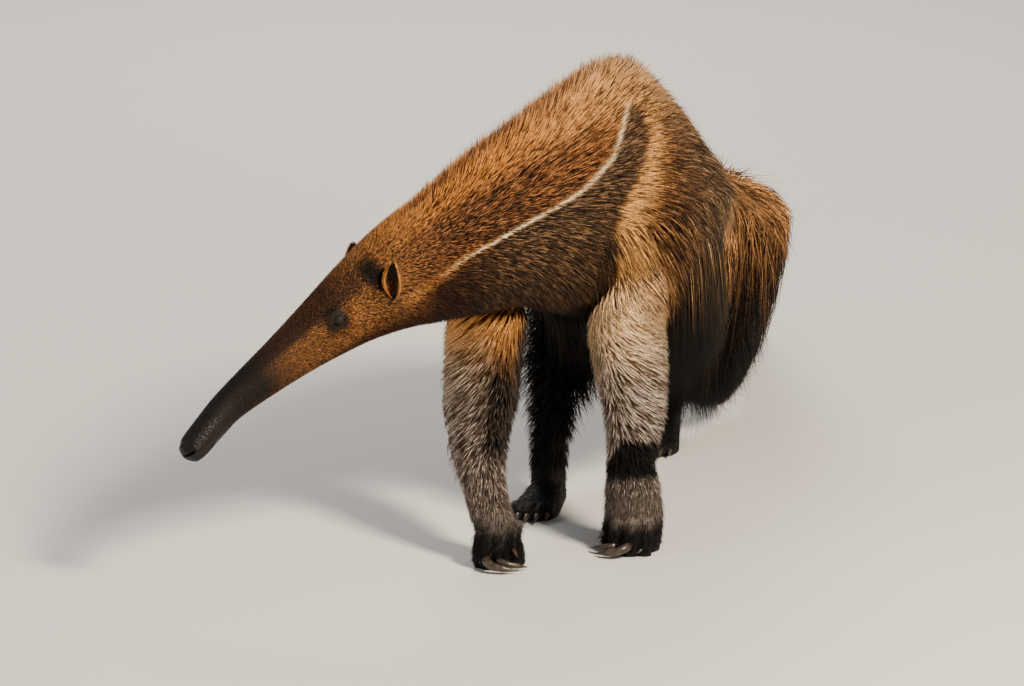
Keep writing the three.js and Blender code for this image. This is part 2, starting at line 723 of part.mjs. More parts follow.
for (const leg of Object.keys(LEGS)) {
  COAT[`${leg}_lower`] = [
    { from: 3, to: 4.7, rows: 2, start: -62, end: -76, back: 0.8, width: 18, rise: 2.1 },
  ];
  if (leg.startsWith('fore')) {
    COAT[`${leg}_lower`].push(
      { from: 3, to: 4.2, rows: 1, start: -8, end: -20, back: 0.9, width: 18, rise: 1.3 },
    );
    COAT[`${leg}_upper`] = [
      { from: 1.8, to: 2.6, rows: 1, start: -62, end: -74, back: 0.9, width: 20, rise: 1.9 },
    ];
  }
}
const LOCK = {
  thickness: 4.5,
  sink: 8,
  vary: 0.1,
  scatter: 3,
  twist: 0.1,
  floorRoom: 3,
  edgeRoom: 17,
  tipRoom: 22,
  steps: 3,
};
const LOCK_LEVELS = [0, 0.55, 0.88, 1];
const LOCK_WIDTHS = [0.8, 1, 0.72];
const LOCK_THICKNESSES = [1, 1, 0.7];

// Random numbers between -1 and 1 that are the same on every run.
let seed = 20;
function scatter() {
  seed = (seed * 16807) % 2147483647;
  return (seed / 2147483647) * 2 - 1;
}

// The course of one lock: rooted in the body and lying along it out to the tips of the coat.
function lockCourse(pointAt, place, bed, mirror) {
  const vary = 1 + LOCK.vary * scatter();
  const rise = (bed.rise ?? 1) * (1 + 0.5 * LOCK.vary * scatter());
  const start = ((mirror > 0 ? bed.start : 180 - bed.start) + LOCK.scatter * scatter()) * DEGREE;
  const turn = (bed.end - bed.start) * mirror * DEGREE * vary;
  const path = LOCK_LEVELS.map((level, i) => {
    const share = i / LOCK.steps;
    const grow = i === 0 ? -LOCK.sink : 0;
    const point = pointAt(place + bed.back * vary * share, start + turn * share, grow, level * rise);
    point.z = Math.max(point.z - (bed.hang ?? 0) * vary * share ** 2, LOCK.floorRoom);
    return point;
  });
  const { out } = surfaceFrame(pointAt, place + bed.back / 2, start + turn / 2);
  const run = path.at(-1).clone().sub(path.at(-2)).normalize();
  const lie = path.at(-1).clone().sub(path[0]).normalize();
  const across = new THREE.Vector3().crossVectors(out, lie).normalize();
  if (across.y < 0) {
    across.negate();
  }
  across.addScaledVector(out, LOCK.twist).normalize();
  return { path, run, across, out, width: bed.width * vary };
}

// A lock's solid: a flat underside and a low ridge along the outside, narrowing to a point.
function lockSolid({ path, run, across, out, width }, grow) {
  const rings = path.slice(0, -1).map((point, i) => {
    const half = width * LOCK_WIDTHS[i] + LOCK.edgeRoom * grow;
    const ridge = LOCK.thickness * LOCK_THICKNESSES[i] + 2 * grow;
    return [
      point.clone().addScaledVector(across, half).addScaledVector(out, -2 * grow),
      point.clone().addScaledVector(out, ridge),
      point.clone().addScaledVector(across, -half).addScaledVector(out, -2 * grow),
    ];
  });
  const end = path.at(-1).clone().addScaledVector(run, LOCK.tipRoom * grow);
  return skinOver(rings, undefined, end.addScaledVector(out, -0.5 * grow));
}

function bedOfLocks(node, bed) {
  const leg = Object.keys(LEGS).find((name) => node.startsWith(name));
  const pointAt = leg ? (...at) => legPoint(leg, ...at) : spinePoint;
  const mirrors = bed.single ? [1] : [1, -1];
  return Array.from({ length: bed.rows * mirrors.length }, (_, i) => {
    const mirror = mirrors[i % mirrors.length];
    const row = Math.floor(i / mirrors.length) + 0.5 - 0.2 * mirror + 0.06 * scatter();
    return lockCourse(pointAt, bed.from + ((bed.to - bed.from) * row) / bed.rows, bed, mirror);
  });
}

// Each lock is joined to the node it grows from, and the other nodes make room for it.
for (const [node, beds] of Object.entries(COAT)) {
  const part = parts.find(({ name }) => name === node);
  const courses = beds.flatMap((bed) => bedOfLocks(node, bed));
  const room = join(courses.map((course) => lockSolid(course, GAP)));
  for (const other of parts) {
    if (other !== part && !other.solid.intersect(room).isEmpty()) {
      other.solid = largest(other.solid.subtract(room));
    }
  }
  part.solid = largest(part.solid.add(join(courses.map((course) => lockSolid(course, 0)))));
}

const animal = new THREE.Group();
for (const { name, solid, finish } of parts) {
  const material = new THREE.MeshStandardMaterial({ ...FINISHES[finish], metalness: 0 });
  const mesh = new THREE.Mesh(toGeometry(solid), material);
  mesh.name = name;
  animal.add(mesh);
}

// The origin is on the floor, under the middle of the animal's box.
const extent = new THREE.Box3().setFromObject(animal);
const middleOfExtent = extent.getCenter(new THREE.Vector3());
animal.position.set(-middleOfExtent.x, -middleOfExtent.y, 0);

export default animal;
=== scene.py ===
"""A giant anteater at life size: its skin, eyes, ears and claws, and a coat of tufts over them."""

import bpy
import numpy as np
from mathutils import Matrix, Vector


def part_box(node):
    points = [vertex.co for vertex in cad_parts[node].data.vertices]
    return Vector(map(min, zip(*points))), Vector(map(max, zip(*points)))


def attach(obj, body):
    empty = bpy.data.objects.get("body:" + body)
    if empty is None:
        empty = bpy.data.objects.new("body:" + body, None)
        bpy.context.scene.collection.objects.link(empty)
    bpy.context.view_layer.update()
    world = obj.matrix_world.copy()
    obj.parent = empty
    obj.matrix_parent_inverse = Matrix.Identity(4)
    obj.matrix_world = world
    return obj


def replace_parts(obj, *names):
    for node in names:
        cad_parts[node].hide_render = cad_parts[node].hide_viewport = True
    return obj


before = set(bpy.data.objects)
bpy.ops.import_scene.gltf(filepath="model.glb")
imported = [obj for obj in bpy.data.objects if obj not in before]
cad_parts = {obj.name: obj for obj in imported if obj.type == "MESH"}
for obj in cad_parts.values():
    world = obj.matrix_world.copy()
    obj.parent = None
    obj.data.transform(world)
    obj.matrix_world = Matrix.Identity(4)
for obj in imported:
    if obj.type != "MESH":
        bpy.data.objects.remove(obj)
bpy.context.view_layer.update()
rng = np.random.default_rng(11)
MM = 0.001
UP = np.array([0.0, 0.0, 1.0])
FORWARD = np.array([0.0, -1.0, 0.0])

# The body's stations in millimetres, the same as those of the solids: centre x, y, z, half
# width, height above, depth below, the powers of the upper and lower curve, the closed share.
SPINE = {
    "noseTip": (-413, -405, 196, 13, 12.5, 13, 2.0, 2.2, 1),
    "nose": (-406, -397, 204, 19.5, 18.5, 19.5, 2.0, 2.2, 1),
    "lips": (-387, -374, 231, 21, 20.5, 21.5, 2.1, 2.2, 1),
    "snout": (-365.5, -351, 258, 23, 22.5, 23.5, 2.1, 2.2, 1),
    "bridge": (-310, -300, 308, 31, 33, 33, 2.1, 2.2, 1),
    "eye": (-261, -250, 350, 42, 46, 46, 2.1, 2.2, 1),
    "ear": (-226, -210, 378, 52, 59, 59, 2.0, 2.2, 1),
    "nape": (-183, -165, 405, 62, 76, 76, 2.0, 2.2, 1),
    "throat": (-139, -100, 422, 74, 97, 92, 1.9, 2.2, 0.985),
    "neck": (-90, -25, 442, 86, 121, 110, 1.8, 2.2, 0.97),
    "shoulders": (-47, 45, 452, 100, 148, 140, 1.7, 2.2, 0.95),
    "withers": (-10, 130, 455, 112, 178, 168, 1.6, 2.2, 0.94),
    "hump": (6, 200, 450, 115, 183, 190, 1.55, 2.2, 0.93),
    "back": (2, 300, 428, 117, 170, 196, 1.45, 2.2, 0.91),
    "loin": (-8, 400, 412, 117, 155, 190, 1.4, 2.2, 0.89),
    "croup": (-16, 500, 398, 110, 124, 172, 1.25, 2.1, 0.88),
    "rump": (-16, 600, 374, 96, 79, 140, 1.3, 1.8, 0.84),
    "dock": (-2, 680, 345, 86, 62, 252, 1.5, 1.6, 0.5),
    "tailRoot": (18, 750, 300, 110, 86, 276, 1.7, 1.6, 0.54),
    "tailFirst": (12, 850, 285, 96, 70, 268, 1.7, 1.4, 0.54),
    "tailSecond": (-8, 950, 255, 80, 62, 240, 1.7, 1.25, 0.53),
    "tailThird": (-40, 1090, 200, 64, 54, 186, 1.8, 1.2, 0.53),
    "tailFourth": (-80, 1220, 130, 50, 42, 118, 1.9, 1.3, 0.53),
    "tailFifth": (-106, 1330, 64, 36, 28, 56, 2.0, 1.6, 0.54),
    "tailTip": (-122, 1400, 24, 15, 12, 18, 2.0, 2.0, 0.6),
}

# The legs' stations: centre x, y, z, half width, reach to the front and rear, closed share.
LEGS = {
    "foreleg_left": (
        (70, 130, 420, 48, 66, 66, 0.98),
        (64, 92, 350, 52, 60, 64, 0.93),
        (63, 62, 300, 52, 52, 60, 0.88),
        (74, 46, 243, 50, 46, 54, 0.86),
        (84, 28, 180, 42, 38, 44, 0.86),
        (84, 12, 122, 32, 32, 34, 0.95),
        (89, 4, 84, 37, 33, 34, 1),
        (91, 4, 44, 40, 34, 34, 1),
        (89, 4, -6, 37, 32, 32, 1),
    ),
    "foreleg_right": (
        (-84, 90, 420, 48, 66, 66, 0.98),
        (-107, 36, 350, 55, 58, 62, 0.93),
        (-118, -2, 288, 53, 50, 56, 0.88),
        (-117, -30, 215, 50, 42, 48, 0.86),
        (-108, -70, 150, 37, 34, 38, 0.86),
        (-94, -95, 108, 29, 30, 30, 0.95),
        (-80, -110, 68, 27, 30, 30, 1),
        (-65, -118, 34, 28, 32, 32, 1),
        (-57, -120, -6, 29, 30, 34, 1),
    ),
    "hindleg_left": (
        (52, 590, 380, 52, 92, 84, 0.98),
        (54, 560, 300, 50, 86, 82, 0.93),
        (34, 556, 230, 43, 68, 70, 0.88),
        (6, 592, 165, 36, 46, 50, 0.86),
        (-19, 622, 100, 28, 32, 34, 0.95),
        (-30, 634, 60, 27, 32, 32, 1),
        (-34, 636, 26, 27, 34, 30, 1),
        (-34, 636, -6, 25, 34, 26, 1),
    ),
    "hindleg_right": (
        (-78, 545, 370, 50, 96, 88, 0.98),
        (-92, 456, 298, 50, 88, 82, 0.93),
        (-102, 370, 232, 43, 64, 66, 0.88),
        (-101, 302, 166, 34, 44, 48, 0.86),
        (-97, 254, 100, 27, 31, 34, 0.95),
        (-94, 234, 60, 26, 31, 32, 1),
        (-94, 232, 26, 26, 34, 30, 1),
        (-94, 232, -6, 25, 34, 26, 1),
    ),
}
SPINE_TABLE = np.array(list(SPINE.values()), float)
LEG_TABLES = {leg: np.array(rows, float) for leg, rows in LEGS.items()}
TAIL_END = len(SPINE_TABLE) - 1


def unit(vectors):
    return vectors / np.maximum(np.linalg.norm(vectors, axis=-1, keepdims=True), 1e-9)


def smooth(low, high, value):
    """0 below the first limit, 1 above the second, and an S curve between them."""
    share = np.clip((np.asarray(value, float) - low) / (high - low), 0, 1)
    return share * share * (3 - 2 * share)


def bell(*offsets):
    """1 where every offset is 0, and a smooth fall towards 0 from about 1."""
    return np.exp(-sum(offset**2 for offset in offsets))


def plateau(*offsets):
    """Like a bell, but flat nearly out to 1 and steep there."""
    return np.exp(-sum(offset**4 for offset in offsets))


def blend(first, second, share):
    return first + (second - first) * share[..., None]


# The body's surfaces, each a function of place along it, angle round it, level and growth.


def along(table, place):
    """The values of a table of stations at any places along it, on a smooth curve."""
    place = np.asarray(place, float)
    last = len(table) - 1
    index = np.clip(np.floor(place).astype(int), 0, last - 1)
    t = (place - index)[..., None]
    here, after = table[index], table[index + 1]
    before = np.where((index > 0)[..., None], table[np.maximum(index - 1, 0)], 2 * here - after)
    beyond = table[np.minimum(index + 2, last)]
    beyond = np.where((index + 2 <= last)[..., None], beyond, 2 * after - here)
    rise, slope_in, slope_out = after - here, (after - before) / 2, (beyond - here) / 2
    bend, twist = 3 * rise - 2 * slope_in - slope_out, slope_in + slope_out - 2 * rise
    return here + t * (slope_in + t * (bend + t * twist))


def heading(table, place):
    place = np.asarray(place, float)
    return unit(along(table, place + 0.05)[..., :3] - along(table, place - 0.05)[..., :3])


def spine_axes(place):
    """The stations' values at places along the spine, with the directions sideways and up."""
    forward = -heading(SPINE_TABLE, place)
    side = unit(np.cross(UP, forward))
    return along(SPINE_TABLE, place), side, np.cross(forward, side)


def spine_surface(place, angle, level=0.0, grow=0.0):
    """Level 0 is the closed form under the long hair and level 1 the tips of the coat."""
    rows, side, up = spine_axes(place)
    share = rows[..., 8] + (1 - rows[..., 8]) * level
    across, rise = np.cos(angle), np.sin(angle)
    power = np.where(rise > 0, rows[..., 6], rows[..., 7])
    height = np.where(rise > 0, rows[..., 4], rows[..., 5]) * share + grow
    width = rows[..., 3] * share + grow
    sideways = width * np.sign(across) * np.abs(across) ** (2 / power)
    upward = height * np.sign(rise) * np.abs(rise) ** (2 / power)
    return rows[..., :3] + side * sideways[..., None] + up * upward[..., None]


def leg_surface(leg):
    table = LEG_TABLES[leg]

    def surface(place, angle, level=0.0, grow=0.0):
        rows = along(table, place)
        down = heading(table, place)
        side = unit(np.cross(FORWARD, down))
        share = rows[..., 6] + (1 - rows[..., 6]) * level
        reach = np.where(np.sin(angle) > 0, rows[..., 4], rows[..., 5]) * share + grow
        sideways = (rows[..., 3] * share + grow) * np.cos(angle)
        ahead = np.cross(down, side) * (reach * np.sin(angle))[..., None]
        return rows[..., :3] + side * sideways[..., None] + ahead

    return surface


def axes(surface, place, angle, level=0.0, grow=0.0):
    """Points of a surface with the directions back, round and out, and millimetres per step."""
    step = 0.02
    point = surface(place, angle, level, grow)
    back = surface(place + step, angle, level, grow) - surface(place - step, angle, level, grow)
    turn = surface(place, angle + step, level, grow) - surface(place, angle - step, level, grow)
    out = unit(np.cross(back, turn))
    swell = surface(place, angle, level, grow + 1) - point
    out *= np.sign(np.sum(out * swell, -1, keepdims=True))
    per_place = np.linalg.norm(back, axis=-1) / (2 * step)
    per_angle = np.linalg.norm(turn, axis=-1) / (2 * step)
    return point, unit(back), unit(turn), out, np.maximum(per_place, 1), np.maximum(per_angle, 1)


def flank_angle(angle):
    """The angle on either side as degrees: 90 on the back, 0 at the side, -90 under the belly."""
    return np.degrees(np.arcsin(np.clip(np.sin(angle), -1, 1)))


# The depth of the fur over the skin along the spine and down the legs, in millimetres.
PELT_PLACES = (0, 2, 4, 5, 6, 7, 8, 10, 13, 17, 19, 24)
PELT_DEPTHS = (0, 0.3, 0.9, 1.6, 2.6, 4.5, 7, 9, 10, 10, 8, 5)
LEG_PELT_PLACES = (0, 0.7, 1.4, 2.4, 4, 5, 6, 7, 8)
LEG_PELT_DEPTHS = (30, 18, 10, 8, 6, 3.5, 2, 1, 0)


def spine_pelt(place):
    return np.interp(place, PELT_PLACES, PELT_DEPTHS)


def leg_pelt(place):
    return np.interp(place, LEG_PELT_PLACES, LEG_PELT_DEPTHS)


# Colours of the hair as pairs, the darker and the lighter hairs of each part of the coat.


def linear(code):
    channels = np.array([int(code[i : i + 2], 16) / 255 for i in (1, 3, 5)])
    return np.where(channels <= 0.04045, channels / 12.92, ((channels + 0.055) / 1.055) ** 2.4)


HAIR = {
    name: (linear(dark), linear(light))
    for name, (dark, light) in {
        "nose": ("#070606", "#15110f"),
        "snout": ("#0f0a08", "#2b1e17"),
        "bridge": ("#1a0e07", "#5c3a20"),
        "cheek": ("#2e1606", "#cf8b49"),
        "brow": ("#100905", "#2b180c"),
        "forehead": ("#170b05", "#6b4223"),
        "crown": ("#190b03", "#b87c42"),
        "neck": ("#140802", "#c07c46"),
        "crest": ("#241005", "#ec9a46"),
        "shoulder": ("#1d0c03", "#cf8648"),
        "hump": ("#261206", "#ffbc72"),
        "throat": ("#120803", "#5f3519"),
        "flank": ("#090302", "#ffc68c"),
        "rump": ("#150702", "#ffb873"),
        "tail": ("#2c1104", "#ffb56c"),
        # The curtain under the tail and the belly: dark hair, made darker still as painted shade
        # under the body.
        "curtain": ("#070403", "#22120a"),
        "belly": ("#050302", "#150c08"),
        "band": ("#030201", "#a47c58"),
        "cream": ("#d8a562", "#fff2d2"),
        "pale": ("#442008", "#ffc074"),
        "foreleg": ("#664529", "#ffe8c4"),
        "shin": ("#423129", "#e0cdbc"),
        "shade": ("#14100c", "#6c5b4f"),
        "hand": ("#3a302b", "#bcab9d"),
        "wrist": ("#060404", "#1d1714"),
        "gold": ("#7a3f0e", "#ffb562"),
    }.items()
}
HAIR_PLACES = (0, 2.6, 3.5, 4.1, 5.2, 6.3, 7.4, 9, 11, 13, 15.5, 17.6, 20, 24)
HAIR_ROWS = {
    "top": "nose snout snout forehead forehead crown crest crest hump hump rump tail tail tail",
    "side": "nose snout snout cheek cheek crown neck neck shoulder flank flank rump tail tail",
    "under": "nose snout bridge crown" + 4 * " throat" + 3 * " belly" + 3 * " curtain",
}

# From these flank angles up, over these spans, the colours of the side turn into the top's.
TOP_PLACES = (6.3, 7.5, 10, 11.5)
TOP_STARTS = (27, 46, 44, 28)
TOP_SPANS = (17, 20, 20, 32)

# From these flank angles down, over these spans, they turn into those of the underside:
# partly the dark hair of the belly and partly painted shade under the body and tail.
UNDER_PLACES = (12.5, 14, 15.2, 16.2, 17.6)
UNDER_STARTS = (-12, 8, 2, -26, 4)
UNDER_SPANS = (34, 50, 48, 30, 32)

# The cream line and the rear edge of the black band, as places along the spine and flank angles.
CREAM_PLACES = (6.65, 6.98, 7.3, 7.7, 8.3, 8.83, 9.4, 9.8, 10.15, 10.48, 10.75, 10.95, 11.12)
CREAM_ANGLES = (-11, -4, 2, 9, 12, 15, 18, 22, 28, 34, 43, 50, 54)
BAND_ANGLES = (-60, -48, -34, -18, -4, 8, 16, 26, 31, 38, 46, 52)
BAND_PLACES = (10.1, 10.3, 10.35, 10.3, 10.3, 10.43, 10.65, 10.93, 11.1, 11.3, 11.36, 11.3)
PALE_ANGLES = (-60, -39, -22, -8, 12, 34, 52)
PALE_WIDTHS = (2.3, 1.9, 1.1, 0.75, 0.75, 0.4, 0.25)
CREAM_WIDTH_PLACES = (6.6, 7.5, 8.5, 10, 11.3)
CREAM_WIDTHS = (2.6, 1.8, 1.2, 1.1, 1.4)

# The dark spots before the ear and round the eye: place and flank angle, and their reach.
# The one before the ear is partly darker hair and partly painted shade.
DARK_SPOTS = ((6.15, 42, 0.22, 23), (4.94, 20, 0.21, 22))


def rows_of_hair(place, row):
    """The darker and lighter tones of the top, side or underside at places along the body."""
    stops = np.array([HAIR[name] for name in HAIR_ROWS[row].split()])
    pick = lambda tone, channel: np.interp(place, HAIR_PLACES, stops[:, tone, channel])
    return [np.stack([pick(tone, channel) for channel in range(3)], -1) for tone in (0, 1)]


def plain_tones(name, shape):
    return [np.broadcast_to(tone, (*shape, 3)) for tone in HAIR[name]]


def toward(tones, other, share):
    """A pair of tones, turned by a share towards another pair."""
    return [blend(tone, aim, share) for tone, aim in zip(tones, other)]


def shaded_side(place, flank):
    """How far the coat of the side has turned into the dark tones under the body, from 0 to 1:
    partly the dark hair there and partly painted shade.
    """
    start = np.interp(place, UNDER_PLACES, UNDER_STARTS)
    return smooth(0, 1, (start - flank) / np.interp(place, UNDER_PLACES, UNDER_SPANS))


def spine_hair(place, angle):
    """The darker and lighter hair colours at places on the head, trunk and tail, and the share
    of lighter hairs there."""
    flank = flank_angle(angle)
    top_start = np.interp(place, TOP_PLACES, TOP_STARTS)
    top = smooth(0, 1, (flank - top_start) / np.interp(place, TOP_PLACES, TOP_SPANS))
    rows = {row: rows_of_hair(place, row) for row in HAIR_ROWS}
    tones = toward(toward(rows["side"], rows["top"], top), rows["under"], shaded_side(place, flank))

    # The markings: each a share of its own colours at every place.
    line = np.interp(place, CREAM_PLACES, CREAM_ANGLES)
    rear = np.interp(flank, BAND_ANGLES, BAND_PLACES)
    below = smooth(-1.2, 1.2, line - flank) * smooth(11.6, 11.3, place)
    inside = smooth(-0.06, 0.05, rear - place)
    fade_in = smooth(7.2, 8.9, place)
    band = below * inside * fade_in * smooth(-100, -60, flank)
    throat = below * smooth(6.5, 7.2, place) * (1 - fade_in) * smooth(-4, 3, line - flank)
    behind = smooth(1.5, 0.3, (place - rear) / np.interp(flank, PALE_ANGLES, PALE_WIDTHS))
    behind = behind * (1 - inside) * smooth(58, 40, flank) * smooth(-58, -42, flank)
    cream = bell((flank - line) / np.interp(place, CREAM_WIDTH_PLACES, CREAM_WIDTHS))
    cream = cream * smooth(6.9, 8.0, place) * smooth(11.3, 11.0, place)
    golden = bell((flank - line) / 5) * smooth(6.2, 6.8, place) * smooth(8.4, 7.4, place) * 0.7
    mane = 0.85 * smooth(79, 88, flank) * smooth(6.8, 7.4, place) * smooth(11.2, 10.4, place)
    # The dark spots; the one before the ear is partly painted shade.
    offsets = [((place - p) / length, (flank - a) / width) for p, a, length, width in DARK_SPOTS]
    spots = np.maximum(*(plateau(*pair) for pair in offsets))
    marks = {"neck": mane, "brow": spots, "throat": throat, "band": band, "pale": behind}
    for name, share in (marks | {"gold": golden, "cream": cream}).items():
        tones = toward(tones, HAIR[name], share)

    lighter = np.interp(flank, (-60, -20, 30, 55, 90), (0.1, 0.16, 0.18, 0.38, 0.55))
    # More light hairs along the crest's ridge, flank 62 to 78: partly the grizzled crest and partly
    # painted light where the ridge catches the light.
    neck = np.interp(flank, (-60, 15, 48, 62, 78, 90), (0.1, 0.2, 0.22, 0.62, 0.62, 0.3))
    on_neck = smooth(6.8, 7.6, place) * smooth(11.4, 10.4, place)
    lighter = lighter + (neck - lighter) * on_neck
    # On the face: partly its own colours, partly painted shade that leaves fewer light hairs on the
    # forehead and painted light in a patch behind and below the eye.
    face = 0.5 - 0.2 * top * smooth(3.8, 4.4, place) * smooth(6.6, 6.0, place)
    face = face + 0.25 * bell((place - 5.25) / 0.25, (flank - 8) / 16)
    lighter = np.maximum(lighter, face * smooth(7.5, 6.5, place))
    rear_share = 0.42 + 0.1 * smooth(16.2, 17.6, place)
    rear_share = rear_share * smooth(14.5, 16.5, place) * smooth(-60, -30, flank)
    lighter = np.maximum(lighter, rear_share) * (1 - 0.85 * spots)
    lighter = np.maximum(lighter * (1 - band), 0.18 * band)
    return *tones, np.maximum(lighter, np.maximum(0.72 * behind, 0.8 * cream))


def leg_hair(leg, place, angle):
    """The darker and lighter hair colours down a leg, and the share of lighter hairs."""
    shape, across, ahead = np.shape(place), np.cos(angle), np.sin(angle)
    left = leg.endswith("left")
    lighter = np.full(shape, 0.5)
    if leg.startswith("hind"):
        thigh = smooth(2.3, 0.9, place) * smooth(-0.2, 0.5, across * (1 if left else -1))
        tones = toward(plain_tones("belly", shape), HAIR["wrist"], smooth(2.5, 5.5, place))
        return *toward(tones, HAIR["rump"], thigh), lighter - 0.15 * thigh
    if left:
        warm = smooth(3.5, 1.2, place)
        lighter = lighter + 0.5 * warm
        wrist = smooth(-0.1, 0.1, place - 4.55 - 0.5 * smooth(-0.1, -0.8, across))
        pale = smooth(3.2, 1.7, place) * (1 - 0.5 * smooth(0.9, 1.7, place))
        marks = (
            ("shade", 0.55 * smooth(-0.2, -0.9, ahead)),
            ("cream", warm * 0.8),
            ("pale", pale),
            ("flank", smooth(2.7, 1.2, place) * smooth(0.3, 0.9, across)),
            ("wrist", wrist * smooth(5.85, 5.6, place)),
        )
    else:
        # The right foreleg: the gold on its upper front is painted light, and the shade tones on
        # its inner and rear sides are painted shade.
        warm = smooth(3.0, 1.8, place) * smooth(-0.1, 0.5, ahead)
        lighter = lighter + 0.4 * warm - 0.12 * smooth(1.8, 3.0, place)
        shaded = np.maximum(smooth(0.1, 0.7, across), smooth(0.1, -0.6, ahead))
        marks = (("shade", shaded * smooth(5.5, 4, place)), ("gold", warm))
    lighter = np.minimum(lighter, 0.5 + 0.5 * smooth(1.0, 2.2, place))
    tones = toward(plain_tones("foreleg", shape), HAIR["shin"], smooth(1.8, 4.2, place))
    ends = (("hand", smooth(5.6, 5.9, place)), ("wrist", smooth(6.9, 7.6, place)))
    for name, share in marks + ends:
        tones = toward(tones, HAIR[name], share)
    return *tones, lighter


# Meshes. Points are in millimetres in the animal's own frame until they become a mesh.

EYE = {"place": 4.98, "angle": 17.0, "radius": 7.5, "depth": 4.5}
SIDES = ("left", "right")


def angle_at(feature, side_name):
    degrees = feature["angle"] if side_name == "left" else 180 - feature["angle"]
    return np.radians(degrees)


def axes_at(feature, side_name):
    """The surface and its directions at a feature of the head, on one side."""
    place = np.array(feature["place"])
    return axes(spine_surface, place, np.array(angle_at(feature, side_name)))


def eye_centre(side_name):
    point, _, _, out, _, _ = axes_at(EYE, side_name)
    return point - out * EYE["depth"]


low_corner, high_corner = (np.array(corner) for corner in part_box("eye_left"))
ORIGIN = (low_corner + high_corner) / 2 / MM - eye_centre("left")
ORIGIN[2] = 0


def new_object(name, points, faces, colours, uvs, material):
    """A piece of the animal. Faces all have the same number of corners, each with its UV."""
    points = points.reshape(-1, 3)
    colours = colours.reshape(len(points), -1)
    mesh = bpy.data.meshes.new(name)
    mesh.vertices.add(len(points))
    mesh.vertices.foreach_set("co", ((points + ORIGIN) * MM).astype(np.float32).ravel())
    mesh.loops.add(faces.size)
    mesh.loops.foreach_set("vertex_index", faces.astype(np.int32).ravel())
    mesh.polygons.add(len(faces))
    starts = np.arange(0, faces.size, faces.shape[1], dtype=np.int32)
    mesh.polygons.foreach_set("loop_start", starts)
    mesh.polygons.foreach_set("use_smooth", np.ones(len(faces), bool))
    mesh.update(calc_edges=True)
    layer = mesh.uv_layers.new(name="OFBake")
    layer.uv.foreach_set("vector", uvs.astype(np.float32).ravel())
    tint = mesh.color_attributes.new(name="Markings", type="FLOAT_COLOR", domain="POINT")
    if colours.shape[1] == 3:
        colours = np.column_stack([colours, np.ones(len(points))])
    tint.data.foreach_set("color", colours.astype(np.float32).ravel())
    piece = bpy.data.objects.new(name, mesh)
    bpy.context.scene.collection.objects.link(piece)
    piece.data.materials.append(material)
    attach(piece, "root")
    return piece


class Skin:
    """Collects closed shells of skin, with their colours and unwrap, to join them in one mesh.
    The fourth channel of the colours says how dry the skin is."""

    def __init__(self):
        self.points, self.faces, self.colours, self.uvs, self.count = [], [], [], [], 0

    def add(self, points, faces, colours, uvs, dry=1.0):
        self.points.append(points)
        self.faces.append(faces + self.count)
        self.colours.append(np.column_stack([colours, np.broadcast_to(dry, len(points))]))
        self.uvs.append(uvs)
        self.count += len(points)

    def add_grid(self, points, colours, unwrap, closed=True, dry=1.0):
        faces, uvs = grid_of(points, unwrap, closed)
        self.add(points.reshape(-1, 3), faces, colours.reshape(-1, 3), uvs, dry)

    def build(self, name, material):
        parts = (self.points, self.faces, self.colours, self.uvs)
        return new_object(name, *map(np.concatenate, parts), material)


def grid_faces(rows, columns, closed):
    """Quads over a grid of points, whose columns may close into rings."""
    spans = columns if closed else columns - 1
    row, column = np.meshgrid(np.arange(rows - 1), np.arange(spans), indexing="ij")
    following = (column + 1) % columns
    corners = [row * columns + column, row * columns + following]
    corners += [(row + 1) * columns + following, (row + 1) * columns + column]
    return np.stack(corners, -1).reshape(-1, 4)


def grid_uvs(rows, columns, closed, unwrap):
    """Corner UVs of the same quads. The unwrap takes shares along and across the grid."""
    spans = columns if closed else columns - 1
    row, column = np.meshgrid(np.arange(rows - 1), np.arange(spans), indexing="ij")
    corners = [(row, column), (row, column + 1), (row + 1, column + 1), (row + 1, column)]
    pairs = [unwrap(r / (rows - 1), c / spans) for r, c in corners]
    return np.stack([np.stack(pair, -1) for pair in pairs], -2).reshape(-1, 2)


def grid_of(points, unwrap, closed=True):
    """The faces and corner UVs of a grid of points."""
    shape = points.shape[:2]
    return grid_faces(*shape, closed), grid_uvs(*shape, closed, unwrap)


def close_ends(rings):
    """Rings with one more at either end, drawn together to a point."""
    ends = [np.broadcast_to(rings[i].mean(0), rings[0].shape)[None] for i in (0, -1)]
    return np.concatenate([ends[0], rings, ends[1]])


# The unwrap: the spine takes the lower half of the map and each leg a strip above it.
LEG_STRIPS = {leg: 0.52 + 0.1 * i for i, leg in enumerate(LEGS)}
PATCH = 0.003


def spine_unwrap(place, turn):
    return 0.01 + 0.97 * np.asarray(place) / TAIL_END, 0.01 + 0.49 * (np.asarray(turn) % 1.0001)


def leg_unwrap(leg):
    def unwrap(place, turn):
        across = 0.09 * (np.asarray(turn) % 1.0001)
        return 0.01 + 0.6 * np.asarray(place) / 8, LEG_STRIPS[leg] + across

    return unwrap


def unwrap_rows(unwrap, places):
    """The same unwrap for shares along a grid whose rows lie at these places."""
    shares = np.arange(len(places)) / (len(places) - 1)
    return lambda r, c: unwrap(np.interp(r, shares, places), c)


TURN_START = -0.25


def turn_of(angle):
    """The share of a full turn round the body, counted from the belly line."""
    return (np.asarray(angle) / (2 * np.pi) - TURN_START) % 1


def ring_grid(places, sides):
    """Places and angles of a grid of rings round the body or a leg."""
    place, turn = np.meshgrid(places, np.arange(sides) / sides, indexing="ij")
    return place, (turn + TURN_START) * 2 * np.pi


# The skin of the head, trunk and tail, with the folds of the face.
MOUTH = {"corner": 1.5, "front": 0.12, "drop": -34.0, "reach": 3.2}

NOSTRIL = {"place": 0.2, "angle": 9.0, "length": 6.0, "height": 1.7, "depth": 5.0, "reach": 14}

